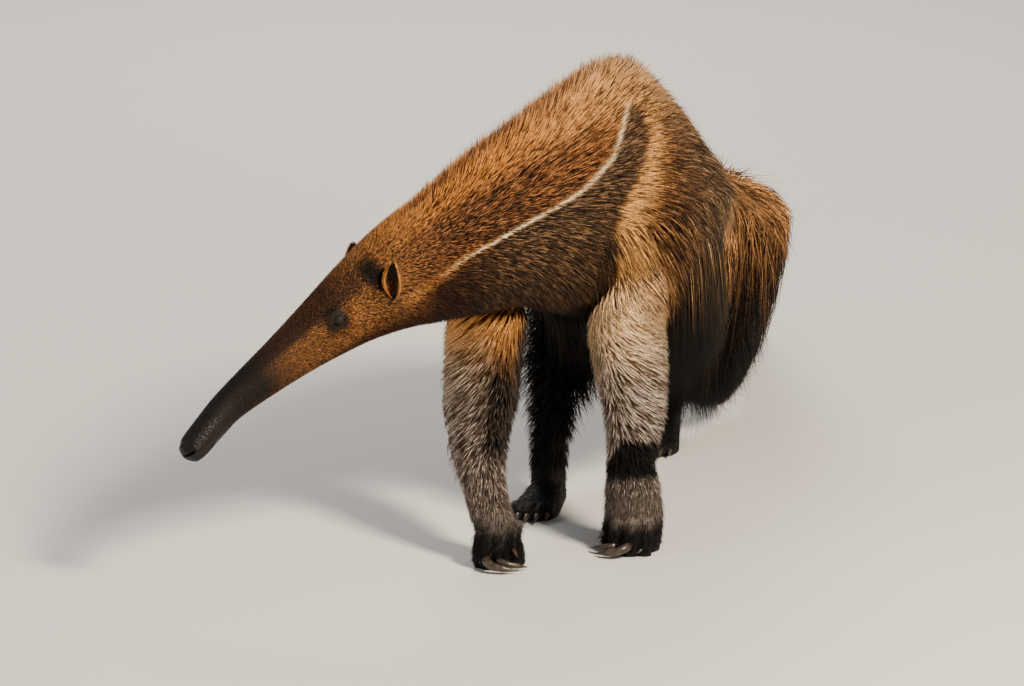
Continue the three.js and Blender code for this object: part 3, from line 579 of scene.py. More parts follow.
# The rows of the skin along the spine: from, to and step.
SKIN_ROWS = ((0, 2.6, 0.02), (2.6, 7.4, 0.035), (7.4, 17, 0.1), (17, TAIL_END, 0.08))
SPINE_SIDES = 128
LEG_SIDES = 48
LOWEST_SKIN = 1.5


def mouth_line():
    turn = np.linspace(0, np.pi, 300)
    angle = np.pi * 1.5 + (np.pi / 2 + np.radians(MOUTH["drop"])) * np.cos(turn)
    place = MOUTH["corner"] + (MOUTH["front"] - MOUTH["corner"]) * np.sin(turn) ** 0.6
    return spine_surface(place, angle)


def face_relief(place, angle, points):
    """Height of the face's forms over the smooth head: nostrils, mouth, folds and eye sockets."""
    relief = np.zeros(np.shape(place))
    front = place < MOUTH["reach"]
    near = points[front][:, None, :] - mouth_line()[None]
    gap = np.sqrt((near**2).sum(-1)).min(1)
    relief[front] += -1.7 * bell(gap / 0.8) + 0.8 * bell((gap - 2.4) / 1.4)
    for side_name in SIDES:
        centre, back, turn, _, _, _ = axes_at(NOSTRIL, side_name)
        offset = points - centre
        reach = ((offset @ back) / NOSTRIL["length"]) ** 2
        reach = reach + ((offset @ turn) / NOSTRIL["height"]) ** 2
        hole = -NOSTRIL["depth"] * bell(reach) + 0.9 * np.exp(-((np.sqrt(reach) - 1.7) ** 2) * 3)
        relief += np.where(np.linalg.norm(offset, axis=-1) < NOSTRIL["reach"], hole, 0)
        far = np.linalg.norm(points - axes_at(EYE, side_name)[0], axis=-1)
        relief -= 7 * (1 - smooth(9.5, 13.5, far))
        relief -= 1.2 * bell((far - 17) / 5) * (far < 40)
    folds = np.sin(place * 40 + 2.5 * np.sin(angle * 3)) * np.sin(place * 13 + angle * 2)
    return relief + 0.07 * folds * smooth(0.5, 1.2, place) * smooth(4.6, 2.6, place)


def add_spine_skin(skin):
    places = np.concatenate([np.arange(*run) for run in SKIN_ROWS] + [[TAIL_END]])
    place, angle = ring_grid(places, SPINE_SIDES)
    bare, _, _, out, _, _ = axes(spine_surface, place, angle, 0.0, -spine_pelt(place))
    relief = face_relief(place.ravel(), angle.ravel(), bare.reshape(-1, 3)).reshape(place.shape)
    points = bare + out * relief[..., None]
    points[..., 2] = np.maximum(points[..., 2], LOWEST_SKIN)
    dark, light, _ = spine_hair(place, angle)
    colours = blend(dark, light, np.full(place.shape, 0.12))
    colours = colours * np.where(place < 4, 1.0, 0.75)[..., None]
    wet = bell((place - 1.3) / 0.25, (flank_angle(angle) + 12) / 14)
    dry = (np.maximum(smooth(0.8, 3.2, place), 0.5) * (1 - wet)).ravel()
    skin.add_grid(points, colours, unwrap_rows(spine_unwrap, places), dry=dry)
    cap(skin, points[0], colours[0], 0.0)
    cap(skin, points[-1], colours[-1], TAIL_END)


def cap(skin, ring, colours, place):
    """Closes a ring of points with a low dome, with the dents of the nostrils at the nose."""
    centre, sides, front = ring.mean(0), len(ring), place < 1
    steps = np.linspace(1, 0.02, 18)
    rows = centre + (ring[None] - centre) * steps[:, None, None]
    size = np.linalg.norm(ring - centre, axis=-1).mean()
    ahead = unit(np.cross(ring[0] - centre, ring[sides // 4] - centre))
    ahead = ahead * (np.sign(ahead @ FORWARD) or 1) * (1 if front else -1)
    upward, sideways = unit(ring[sides // 2] - ring[0]), unit(ring[sides // 4] - ring[-sides // 4])
    high, far = (rows - centre) @ upward, np.abs((rows - centre) @ sideways)
    dent = 3.5 * bell((high - 2.0) / 1.5) * smooth(1.5, 6, far) * smooth(0, 0.2, 1 - steps)[:, None]
    rows = rows + ahead * (0.42 * size * (1 - steps**2)[:, None] - dent * front)[..., None]
    unwrap = lambda r, c: spine_unwrap(np.full(np.shape(c), place), c)
    skin.add_grid(rows, np.broadcast_to(colours, rows.shape), unwrap, dry=0.5 if front else 1.0)


LID = {
    "reach": 19.0,
    "shell": 8.3,
    "half_length": 8.4,
    "opening": 1.4,
    "drop": -3.4,
    "crease": 0.17,
    "rows": 110,
}


def add_eyelids(skin, side_name):
    """The lids of one eye, almost shut over the ball, with the folds of the skin round them."""
    span = np.linspace(-LID["reach"], LID["reach"], LID["rows"])
    a, b = np.meshgrid(span, span, indexing="ij")
    _, _, turn, out, per_place, per_angle = axes_at(EYE, side_name)
    per_angle = per_angle if turn[2] > 0 else -per_angle
    place, angle = EYE["place"] + a / per_place, angle_at(EYE, side_name) + b / per_angle
    base = spine_surface(place, angle, 0.0, -spine_pelt(place))
    far, ahead = np.hypot(a, b), np.abs(a)
    ball = np.sqrt(np.maximum(LID["shell"] ** 2 - far**2, 0)) - EYE["depth"]
    ball = ball + spine_pelt(EYE["place"])
    gap = np.abs(b - (LID["drop"] + 0.018 * a**2 - 0.12 * a))
    from_edge = gap - LID["opening"] * np.sqrt(np.clip(1 - (a / LID["half_length"]) ** 2, 0, 1))
    ends = smooth(13.5, 8.5, ahead)
    brow = 1.6 * bell(a / 13, (b - 7) / 7) * smooth(17, 12, far)
    rim = 0.55 * bell((from_edge - 0.9) / 0.7) * smooth(11, 7, ahead)
    waves = np.sin((from_edge + 0.5 * np.sin(a * 0.9 + b)) * 2 * np.pi / 2.4)
    crease = LID["crease"] * waves * smooth(1.2, 2.4, from_edge) * smooth(10, 6, gap)
    corner = -0.8 * bell(gap / 0.7) * smooth(7, 8.5, ahead) * ends
    rays = 0.35 * np.sin((b + 0.35 * a) * 2 * np.pi / 2.6) * smooth(7, 9.5, a)
    rays = rays * smooth(16, 12, a) * smooth(8, 5, np.abs(b))
    height = np.log1p(np.exp(ball * 0.8)) / 0.8 * smooth(15, 8, far) + brow
    height = height + rim + crease * ends + corner + rays
    inner = smooth(0.35, -0.35, from_edge) * (ahead < LID["half_length"])
    height = height * (1 - inner) + (ball - 2.6) * inner
    height = height + 0.15 - 1.6 * smooth(14.5, 18.5, np.maximum(ahead, np.abs(b)))
    dark, light, _ = spine_hair(place, angle)
    tint = blend(dark, light, np.full(a.shape, 0.2)) * 0.7
    socket = smooth(1.45, 0.8, np.hypot((a + 1) / 13.5, (b - 1.5) / 13.5))
    tint = blend(tint, linear("#160d08"), socket)
    tint = blend(tint, linear("#4a372c"), 0.3 * np.clip(crease / LID["crease"], 0, 1) * ends)
    lid_edge = bell(np.maximum(from_edge, 0) / 1.5) * smooth(11, 8, ahead)
    tint = blend(tint, linear("#0f0a08"), lid_edge)
    unwrap = lambda r, c: spine_unwrap(
        EYE["place"] + (r - 0.5) * 2 * LID["reach"] / per_place,
        turn_of(angle_at(EYE, side_name) + (c - 0.5) * 2 * LID["reach"] / per_angle),
    )
    skin.add_grid(base + out * height[..., None], tint, unwrap, closed=False)


# The legs, hands and feet.


def taper(path, widths, thicknesses, across, sides=20, end=None):
    """A closed form along a path, as rings of points, drawn out to an end point if it has one."""
    fine = np.linspace(0, len(path) - 1, 5 * (len(path) - 1) + 1)
    sizes = np.column_stack([np.array(path, float), widths, thicknesses])
    rows = along(sizes, fine)
    run = heading(sizes, fine)
    wide = unit(across - run * (run @ across)[:, None])
    thick = np.cross(run, wide)
    turn = np.arange(sides) / sides * 2 * np.pi
    rings = rows[:, None, :3] + wide[:, None] * (rows[:, 3, None] * np.cos(turn))[..., None]
    rings = close_ends(rings + thick[:, None] * (rows[:, 4, None] * np.sin(turn))[..., None])
    if end is not None:
        rings[-1] = end
    return rings


def read_all(items, name, size, kind=float):
    values = np.empty(len(items) * size, kind)
    items.foreach_get(name, values)
    return values.reshape(-1, size)


def shells_to_mesh(shells, voxel):
    """One skin over several overlapping closed shells, by a fine voxel remesh and smoothing."""
    points, faces, count = [], [], 0
    for rings in shells:
        points += rings.reshape(-1, 3).tolist()
        faces += (grid_faces(*rings.shape[:2], True) + count).tolist()
        count = len(points)
    mesh = bpy.data.meshes.new("shells")
    mesh.from_pydata(points, [], faces)
    work = bpy.data.objects.new("shells", mesh)
    bpy.context.scene.collection.objects.link(work)
    remesh = work.modifiers.new("skin", "REMESH")
    remesh.mode = "VOXEL"
    remesh.voxel_size = voxel
    soften = work.modifiers.new("soften", "SMOOTH")
    soften.factor = 0.5
    soften.iterations = 6
    graph = bpy.context.evaluated_depsgraph_get()
    result = bpy.data.meshes.new_from_object(work.evaluated_get(graph))
    co, normals = (read_all(result.vertices, name, 3) for name in ("co", "normal"))
    corners = read_all(result.loops, "vertex_index", 1, int)
    bpy.data.objects.remove(work)
    bpy.data.meshes.remove(mesh)
    bpy.data.meshes.remove(result)
    return co, corners.reshape(-1, 4), normals


def leg_rings(leg, start, end):
    places = np.arange(start, end + 1e-6, 0.05)
    place, angle = ring_grid(places, LEG_SIDES)
    return places, close_ends(leg_surface(leg)(place, angle, 0.0, -leg_pelt(place)))


def add_leg_skin(skin, leg):
    places, rings = leg_rings(leg, 0.0, len(LEG_TABLES[leg]) - 3.4)
    spread = np.concatenate([places[:1], places, places[-1:]])
    place, angle = ring_grid(spread, rings.shape[1])
    dark, light, _ = leg_hair(leg, place, angle)
    colours = blend(dark, light, np.full(place.shape, 0.22)) * 0.75
    skin.add_grid(rings, colours, unwrap_rows(leg_unwrap(leg), spread))


# The hands: the way inward, and each digit's place across, set-back and radius, with its
# claw's radius and path.
HANDS = {"foreleg_left": -1, "foreleg_right": 1}
HAND_SPREAD = 0.86
DIGITS = (
    (0.15, 5, 11, 3.5, ((0, 2, 12), (3, 9, 10), (7, 15, 6))),
    (0.42, 0, 13, 6.2, ((0, 0, 15), (2, 17, 15), (13, 25, 11), (29, 24, 8), (46, 15, 4))),
    (0.7, 2, 12, 5.4, ((0, 0, 15), (3, 9, 14), (15, 11, 11), (27, 5, 8), (40, -7, 4))),
    (0.95, 20, 9, 3.5, ((0, 2, 26), (7, 8, 23), (13, 13, 17))),
)
KNUCKLE_BENDS = ((24, 52), (2, 36), (-6, 17), (-2, -4))


def knuckle_tip(leg, across, set_back):
    x, y, _, width, fore = LEGS[leg][7][:5]
    aside = HANDS[leg] * width * (2 * across - 1) * HAND_SPREAD
    return np.array([x + aside, y - fore + set_back, 0.0])


def hand_shells(leg):
    shells = [leg_rings(leg, 4.4, 8.0)[1]]
    for across, set_back, radius, _, _ in DIGITS:
        tip = knuckle_tip(leg, across, set_back)
        path = [tip + (0, y, z) for y, z in KNUCKLE_BENDS]
        radii = [radius * 0.96, radius, radius * 0.96, radius * 0.8]
        shells.append(taper(path, radii, radii, np.array([1.0, 0, 0])))
    return shells


# The hind feet: the way inward and the turn outward, the sole as places ahead of the heel with
# half widths and heights, and each toe's place across, reach, radius and claw length.
FEET = {"hindleg_left": (-1, 8), "hindleg_right": (1, -3)}
FOOT_LENGTH = 118
FOOT_VOXEL = 1.7
BALL_WIDTH = 34
SOLE = ((-22, 22, 24), (10, 26, 40), (55, 31, 32), (92, 34, 26), (118, 27, 18))
TOES = (
    (0.08, 16, 9, 18),
    (0.3, 24, 10, 24),
    (0.52, 27, 10.5, 26),
    (0.74, 23, 10, 24),
    (0.94, 13, 9, 18),
)


def foot_axes(leg):
    inward, turn_out = FEET[leg]
    turn = np.radians(-inward * turn_out)
    forward = np.array([np.sin(turn), -np.cos(turn), 0.0])
    return np.array([*LEGS[leg][-1][:2], 0.0]), forward, np.cross(forward, UP) * inward


def toe_side(place):
    return -BALL_WIDTH * 0.82 * (2 * place - 1)


def foot_point(leg, ahead, inside, height):
    heel, forward, inner = foot_axes(leg)
    return heel + forward * ahead + inner * inside + UP * height


def foot_shells(leg):
    _, _, inner = foot_axes(leg)
    last = len(LEG_TABLES[leg]) - 1
    shells = [leg_rings(leg, last - 3.4, last)[1]]
    path = [foot_point(leg, ahead, 0, 0) for ahead, _, _ in SOLE]
    widths, heights = ([row[i] - 0.5 for row in SOLE] for i in (1, 2))
    shells.append(taper(path, widths, heights, inner, 32))
    for place, reach, radius, _ in TOES:
        side, tip = toe_side(place), FOOT_LENGTH + reach
        bends = ((FOOT_LENGTH - 26, 1, 12), (FOOT_LENGTH - 4, 1.03, 13), (tip - 10, 1.06, 9))
        path = [foot_point(leg, ahead, side * spread, height) for ahead, spread, height in bends]
        radii = [radius * 0.97, radius * 0.97, radius * 0.8]
        end = foot_point(leg, tip - 5, side * 1.07, 7)
        shells.append(taper(path, radii, radii, inner, 20, end))
    return shells


def add_foot_skin(skin, leg):
    """A hand or foot as one skin. Returns its surface for the short hair on it."""
    shells = hand_shells(leg) if leg in HANDS else foot_shells(leg)
    points, faces, normals = shells_to_mesh(shells, FOOT_VOXEL)
    points[:, 2] = np.maximum(points[:, 2], 0.3)
    dark, light, _ = foot_colours(leg, points)
    tint = blend(dark, light, np.full(len(points), 0.18)) * 0.75
    from_centre = points[:, :2] - points[:, :2].mean(0)
    around = np.arctan2(from_centre[:, 1], from_centre[:, 0]) / (2 * np.pi) % 1
    u = 0.66 + 0.3 * np.clip(points[:, 2] / 150, 0, 1)
    uvs = np.column_stack([u, LEG_STRIPS[leg] + 0.09 * around])
    skin.add(points, faces, tint, uvs[faces.ravel()])
    return points, faces, normals, uvs


def foot_colours(leg, points):
    """Hair colours over a hand or foot by height, dark at the toes."""
    height = points[..., 2]
    tones = plain_tones("wrist", height.shape)
    if leg == "foreleg_left":
        hand = smooth(30, 52, height) * smooth(104, 92, height)
        tones = toward(toward(tones, HAIR["hand"], hand), HAIR["shin"], smooth(140, 150, height))
    elif leg == "foreleg_right":
        tones = toward(tones, HAIR["hand"], smooth(38, 66, height))
        tones = toward(tones, HAIR["shin"], smooth(56, 92, height))
    return *tones, np.full(height.shape, 0.5)


# Materials.


def node_material(name, build):
    material = bpy.data.materials.new(name)
    material.use_nodes = True
    build(material.node_tree, material.node_tree.nodes["Principled BSDF"])
    return material


def add_node(tree, kind, **values):
    """A node with values for its inputs and properties. A _ in a key stands for a space."""
    node = tree.nodes.new(kind)
    for key, value in values.items():
        if key.replace("_", " ") in node.inputs:
            node.inputs[key.replace("_", " ")].default_value = value
        else:
            setattr(node, key, value)
    return node


def noise_of(tree, scale, detail=3.0, stretch=(1, 1, 1)):
    """Noise in the object's own space, stretched along an axis if asked."""
    where = add_node(tree, "ShaderNodeTexCoord")
    turn = add_node(tree, "ShaderNodeMapping", Scale=stretch)
    tree.links.new(where.outputs["Object"], turn.inputs["Vector"])
    noise = add_node(tree, "ShaderNodeTexNoise", Scale=scale, Detail=detail)
    tree.links.new(turn.outputs["Vector"], noise.inputs["Vector"])
    return noise.outputs["Fac"]


def shade_by(tree, colour, factor, dark, light):
    """Multiplies a colour by a value that runs from dark to light with a noise factor."""
    limits = {"From_Min": 0.3, "From_Max": 0.7, "To_Min": dark, "To_Max": light}
    spread = add_node(tree, "ShaderNodeMapRange", **limits)
    tree.links.new(factor, spread.inputs["Value"])
    mix = add_node(tree, "ShaderNodeMix", data_type="RGBA", blend_type="MULTIPLY", Factor=1.0)
    tree.links.new(colour, mix.inputs[6])
    tree.links.new(spread.outputs["Result"], mix.inputs[7])
    return mix.outputs[2]


def ramp_between(tree, factor, dark, light, start=0.0, end=1.0):
    ramp = add_node(tree, "ShaderNodeValToRGB")
    for element, tone, stop in zip(ramp.color_ramp.elements, (dark, light), (start, end)):
        element.color = (*linear(tone), 1)
        element.position = stop
    tree.links.new(factor, ramp.inputs["Fac"])
    return ramp.outputs["Color"]


def set_surface(tree, shader, colour, roughness, specular=0.5):
    tree.links.new(colour, shader.inputs["Base Color"])
    shader.inputs["Roughness"].default_value = roughness
    shader.inputs["Specular IOR Level"].default_value = specular


def bump_from(tree, shader, height, strength, distance):
    bump = add_node(tree, "ShaderNodeBump", Strength=strength, Distance=distance)
    tree.links.new(height, bump.inputs["Height"])
    tree.links.new(bump.outputs["Normal"], shader.inputs["Normal"])


def marked_colour(tree, coarse, fine):
    """The markings, varied by two noises, each with its darkest and lightest factor."""
    markings = add_node(tree, "ShaderNodeVertexColor", layer_name="Markings")
    colour = shade_by(tree, markings.outputs["Color"], *coarse)
    return shade_by(tree, colour, *fine), markings.outputs["Alpha"]


def fur_nodes(tree, shader):
    coarse, fine = noise_of(tree, 28.0, 4.0), noise_of(tree, 380.0, 2.0)
    # The fine noise gives bright and dark flecks: partly random tone of the hairs and partly
    # painted glints on their tips.
    colour, _ = marked_colour(tree, (coarse, 0.8, 1.2), (fine, 0.55, 1.5))
    set_surface(tree, shader, colour, 0.6, 0.16)


def skin_nodes(tree, shader):
    fine, coarse = noise_of(tree, 900.0, 4.0, (1.0, 0.6, 1.0)), noise_of(tree, 60.0, 5.0)
    colour, dry = marked_colour(tree, (fine, 0.7, 1.25), (coarse, 0.78, 1.2))
    set_surface(tree, shader, colour, 0.5, 0.22)
    rough = add_node(tree, "ShaderNodeMapRange", To_Min=0.14, To_Max=0.66)
    tree.links.new(dry, rough.inputs["Value"])
    tree.links.new(rough.outputs["Result"], shader.inputs["Roughness"])
    bump_from(tree, shader, noise_of(tree, 330.0, 6.0), 0.6, 0.0022)


def claw_nodes(tree, shader):
    streaks = noise_of(tree, 240.0, 5.0, (1.0, 0.25, 1.0))
    set_surface(tree, shader, ramp_between(tree, streaks, "#120e0b", "#54463a", 0.3, 0.85), 0.38)
    bump_from(tree, shader, streaks, 0.35, 0.0006)


def eye_nodes(tree, shader):
    colour = ramp_between(tree, noise_of(tree, 300.0, 3.0), "#0b0705", "#2c1a10")
    set_surface(tree, shader, colour, 0.12, 0.3)


def floor_nodes(tree, shader):
    colour = ramp_between(tree, noise_of(tree, 1.2, 2.0), "#d9d6d0", "#dedbd6")
    set_surface(tree, shader, colour, 0.85)


fur_material = node_material("coat_hair", fur_nodes)
skin_material = node_material("skin", skin_nodes)
claw_material = node_material("claw_horn", claw_nodes)
eye_material = node_material("eye_dark", eye_nodes)
floor_material = node_material("studio_floor", floor_nodes)


# Tufts: thin blades with a flat underside and a low ridge, which taper to a point. They start
# deeper than the pelt, by this share of its depth, and stay above the floor.
RIDGE = 0.35
ROOT_WIDTH = 0.75
ROOT_DEPTH = 1.15
LOWEST_HAIR = 2.0


def tuft_piece(name, path, width, out, colours, uvs):
    """A coat piece from paths and colours of shape (tufts, points, 3), which bow towards out."""
    count, rings = path.shape[0], path.shape[1] - 1
    across = unit(np.cross(unit(path[:, -1] - path[:, 0]), out))
    ridge_way = np.cross(across, unit(path[:, -1] - path[:, 0]))
    share = np.arange(rings) / rings
    profile = ROOT_WIDTH + (1 - ROOT_WIDTH) * np.minimum(share * 2.5, 1)
    profile = profile * (1 - 0.55 * np.clip((share - 0.35) / 0.65, 0, 1))
    half = width[:, None] * profile[None] / 2
    centre = path[:, :rings]
    wide = across[:, None] * half[..., None]
    ridge = ridge_way[:, None] * (half * RIDGE * 2)[..., None]
    ring = np.stack([centre - wide, centre + ridge, centre + wide], 2)
    points = np.concatenate([ring.reshape(count, -1, 3), path[:, -1:]], 1)
    tip = 3 * rings
    corners = [(tip - 3, tip, tip - 2), (tip - 2, tip, tip - 1), (tip - 1, tip, tip - 3), (0, 1, 2)]
    for first in range(0, tip - 3, 3):
        for a, b in ((0, 1), (1, 2), (2, 0)):
            near, far = first + a, first + b
            corners += [(near, near + 3, far), (far, near + 3, far + 3)]
    faces = (np.array(corners)[None] + (np.arange(count) * (tip + 1))[:, None, None]).reshape(-1, 3)
    tint = np.concatenate([np.repeat(colours[:, :rings], 3, 1), colours[:, -1:]], 1)
    along_tuft = np.concatenate([np.repeat(share, 3), [1.0]])
    sideways = np.concatenate([np.tile([0.0, 0.5, 1.0], rings), [0.5]])
    spread = uvs[:, None] + np.column_stack([along_tuft, sideways])[None] * PATCH
    new_object(name, points, faces, tint, spread.reshape(-1, 2)[faces.ravel()], fur_material)


def scattered_roots(surface, places, count, weight=None):
    """Random places and angles all round, even over the area unless a weight is given."""
    rows, columns = 120, 72
    place_edges, angle_edges = np.linspace(*places, rows + 1), np.linspace(*FULL_TURN, columns + 1)
    place, angle = np.meshgrid(place_edges[:-1], angle_edges[:-1], indexing="ij")
    place_step, angle_step = place_edges[1] - place_edges[0], angle_edges[1] - angle_edges[0]
    middles = place + place_step / 2, angle + angle_step / 2
    _, _, _, _, per_place, per_angle = axes(surface, *middles, 0.5)
    chance = per_place * per_angle
    if weight is not None:
        chance = chance * weight(*middles)
    chance = (chance / chance.sum()).ravel()
    draws = (np.arange(count) + rng.random(count)) / count
    cell = rng.permutation(np.searchsorted(np.cumsum(chance), draws))
    cell = np.minimum(cell, chance.size - 1)
    place = place.ravel()[cell] + rng.random(count) * place_step
    return place, angle.ravel()[cell] + rng.random(count) * angle_step


def vary(least, span, count):
    """Random numbers from the least one, over a span above it."""
    return least + span * rng.random(count)


def hair_colours(dark, light, lighter, light_from=0.0, root=0.22):
    """Colours along tufts. A share of the hairs shows the lighter colour from some way up, the
    others stay dark, and all are darker at the root: painted shade, which leaves the share root
    of their colour there."""
    count, steps = dark.shape[:2]
    share = np.linspace(0, 1, steps)
    is_light = rng.random(count) < lighter[:, -1]
    tick = np.where(is_light, vary(0.55, 0.45, count), 0.3 * rng.random(count) ** 2)[:, None]
    tone = np.clip(tick * (0.25 + 0.95 * smooth(light_from, 1, share)), 0, 1)
    # Painted shade: each tuft darkens towards its root, as if shadowed by the coat over it.
    shade = root + (1 - root) * np.minimum(share * 1.3, 1)
    shade = shade * vary(0.82, 0.36, (count, 1))
    if steps > 2:
        shade = shade * vary(0.65, 0.6, (count, steps))
    return blend(dark, light, tone) * shade[..., None]


def flow(place, angle, seed):
    """A slow wave over the surface that turns neighbouring hairs together, from -1 to 1."""
    slow = np.sin(place * 5.1 + seed + 2 * np.sin(angle * 2))
    return 0.6 * slow + 0.4 * np.sin(place * 11.3 - angle * 4 + seed * 2)


def surface_tufts(name, base, place, angle, lie, hair, steps):
    """Tufts that start in the skin and follow a surface. The base is the surface, the depth of
    its pelt and its unwrap. Lie gives each tuft's course: length, turn from straight back in
    degrees, level and growth at the tip, width and, where they aren't the usual, fall, light_from
    and root, the share of its colour that the painted shade leaves at the root. Each takes the
    colour of the place where its outer part lies, so that markings have ragged edges."""
    surface, pelt, unwrap = base
    _, _, _, out, per_place, per_angle = axes(surface, place, angle)
    turn = np.radians(lie["turn"])
    share = np.linspace(0, 1, steps)[None]
    places = place[:, None] + (lie["length"] * np.cos(turn) / per_place)[:, None] * share
    angles = angle[:, None] + (lie["length"] * np.sin(turn) / per_angle)[:, None] * share
    lift = share**0.75
    growth = -pelt(place)[:, None] * ROOT_DEPTH * (1 - lift) + lie["grow"][:, None] * lift
    path = surface(places, angles, lie["level"][:, None] * lift, growth)
    fall = np.reshape(lie.get("fall", 0.0), (-1, 1)) * share**2
    path[..., 2] = np.maximum(path[..., 2] - fall, LOWEST_HAIR)
    outer = np.full(share.shape, 0.65)
    shown = [ends[:, :1] + (ends[:, -1:] - ends[:, :1]) * outer for ends in (places, angles)]
    tone = hair_colours(*hair(*shown), lie.get("light_from", 0.0), lie.get("root", 0.22))
    tuft_piece(name, path, lie["width"], out, tone, np.column_stack(unwrap(place, turn_of(angle))))


FULL_TURN = (np.radians(-90), np.radians(270))
SPINE_BASE = (spine_surface, spine_pelt, spine_unwrap)


def downward(angle, degrees):
    """Turns towards the ground on either side of the body, in the direction of growing angle."""
    across = np.cos(angle)
    return np.where(across >= 0, -1, 1) * degrees * np.clip(np.abs(across) * 2.2, 0, 1)


# The lie of the hair by places along the spine: its length on the back and the sides, how far
# it turns down in degrees, how far it stands off, and the tufts' width.
LENGTH_PLACES = (0, 2.5, 4.2, 5.5, 6.5, 7.5, 9, 11, 13, 15, 17.4)
TOP_LENGTHS = (2, 2.5, 3.2, 4, 6, 8, 11, 14, 30, 56, 80)
SIDE_LENGTHS = (2, 2.5, 3.2, 4, 5.5, 7, 9.5, 14, 36, 60, 95)
DROOP_PLACES = (0, 5, 8, 10.6, 11.4, 14, 17)
DROOPS = (4, 8, 14, 22, 38, 50, 52)
STAND_PLACES = (0, 4, 6, 8, 12, 17)
STANDS = (0.1, 0.4, 1.0, 2.2, 3.5, 4.0)
WIDTH_PLACES = (0, 2.5, 4, 6, 8, 11, 12.3, 12.5, 17)
WIDTHS = (0.4, 0.6, 0.95, 1.25, 2.3, 3.3, 3.7, 2.9, 3.7)


def trunk_lie(place, angle):
    """How the hair lies from the snout to the root of the tail."""
    flank, count = flank_angle(angle), len(place)
    side_length = np.interp(place, LENGTH_PLACES, SIDE_LENGTHS)
    top_length = np.interp(place, LENGTH_PLACES, TOP_LENGTHS)
    length = side_length + (top_length - side_length) * smooth(35, 70, flank)
    line = np.interp(place, CREAM_PLACES, CREAM_ANGLES)
    by_line = bell((flank - line) / 7) * (place < 11.4)
    turn = downward(angle, np.interp(place, DROOP_PLACES, DROOPS))
    turn = turn + 9 * flow(place, angle, 1.0) + 7 * rng.standard_normal(count)
    crest = smooth(60, 82, flank) * smooth(6.6, 8.6, place)
    stray = 8 * np.maximum(rng.random(count) - 0.88, 0) / 0.12 * smooth(8, 11, place)
    stand = np.interp(place, STAND_PLACES, STANDS)
    return {
        "length": length * (1 - 0.35 * by_line) * vary(0.7, 0.55, count),
        "turn": turn * (1 + 0.8 * crest),
        "level": 1.0 + 0.1 * rng.standard_normal(count),
        "grow": stand * vary(0.4, 1.2, count) + crest * (2 + 15 * rng.random(count) ** 2) + stray,
        "width": np.interp(place, WIDTH_PLACES, WIDTHS) * vary(0.6, 0.7, count),
        "light_from": 0.3 if place.min() > 12 else 0.0,
        "root": 0.22 if place.min() < 15 else 0.35,
    }


def hanging(place, angle):
    """Where the long hair of the chest, belly and flanks hangs free, from 0 to 1."""
    flank = flank_angle(angle)
    chest = smooth(9.6, 10.8, place) * smooth(-38, -60, flank)
    chest = np.maximum(chest, smooth(10.9, 11.5, place) * smooth(-14, -36, flank))
    skirt = smooth(11.9, 13.2, place) * smooth(14, -14, flank)
    return np.maximum(chest, skirt) * smooth(17.0, 16.0, place)


FALL_PLACES = (10.3, 11.2, 12.6, 13.7, 16.5, 17.5)
FALLS = (30, 90, 100, 140, 165, 135)


def skirt_lie(place, angle):
    """How the free hair under the chest, flanks and belly hangs."""
    count = len(place)
    low = smooth(-35, -65, flank_angle(angle))
    length = np.interp(place, (10.3, 12.6, 17), (30, 60, 90)) * (1 - 0.4 * low)
    return {
        "length": length * vary(0.7, 0.6, count),
        "turn": downward(angle, 55) + 8 * flow(place, angle, 1.0) + 8 * rng.standard_normal(count),
        "level": 1.0 + 0.3 * (1 - low) + 0.1 * rng.standard_normal(count),
        "grow": vary(2, 3, count),
        "fall": np.interp(place, FALL_PLACES, FALLS) * vary(0.6, 0.5, count) * (1 - 0.3 * low),
        "width": 2.6 * vary(0.6, 0.7, count),
    }


def skirt_hair(place, angle):
    """The hair that hangs from the flanks, which ends in the black of the belly. It darkens
    towards its tips and lower down, painted shade under the body over the belly's dark hair.
    """
    *tones, lighter = spine_hair(place, angle)
    fade = np.linspace(0.05, 0.5, place.shape[1]) + 0.7 * shaded_side(place, flank_angle(angle))
    return *toward(tones, HAIR["belly"], np.minimum(fade, 1)), lighter * 0.7


def trunk_roots(place, angle):
    """Few roots where the hair hangs free or grows short, and none on the eyes."""
    points = spine_surface(place, angle)
    clear = np.ones(place.shape)
    for side_name in SIDES:
        from_eye = np.linalg.norm(points - axes_at(EYE, side_name)[0], axis=-1)
        clear *= smooth(6, 9.5, from_eye)
    return clear * (1 - 0.6 * hanging(place, angle)) * smooth(1.2, 3.6, place)


def drape_roots(place, angle):
    flank = flank_angle(angle)
    return smooth(-46, -36, flank) * smooth(2, -10, flank)


def drape_lie(place, angle):
    """The hair of the shoulder that hangs over the top of the foreleg and hides its edge."""
    count = len(place)
    return {
        "length": 40 * vary(0.6, 0.6, count),
        "turn": downward(angle, 66) + 8 * flow(place, angle, 1.0) + 8 * rng.standard_normal(count),
        "level": 1.0 + 0.1 * rng.standard_normal(count),
        "grow": vary(8, 20, count) * smooth(9.9, 10.5, place),
        "fall": 10 * rng.random(count),
        "width": 2.6 * vary(0.6, 0.7, count),
        "root": 0.5,
    }


def spine_coat(name, start, end, count, steps, roots=trunk_roots, lie=trunk_lie, hair=spine_hair):
    place, angle = scattered_roots(spine_surface, (start, end), count, roots)
    surface_tufts(name, SPINE_BASE, place, angle, lie(place, angle), hair, steps)


# The hair of the tail by the flank angle of its roots: degrees it turns down, and its reach
# back in places along the spine.
TAIL_ROOTS = (-90, -36, 16, 54, 76, 90)
TAIL_TURNS = (0, 44, 70, 66, 34, 3)
TAIL_RUNS = (0.15, 0.22, 0.36, 0.5, 0.75, 0.95)


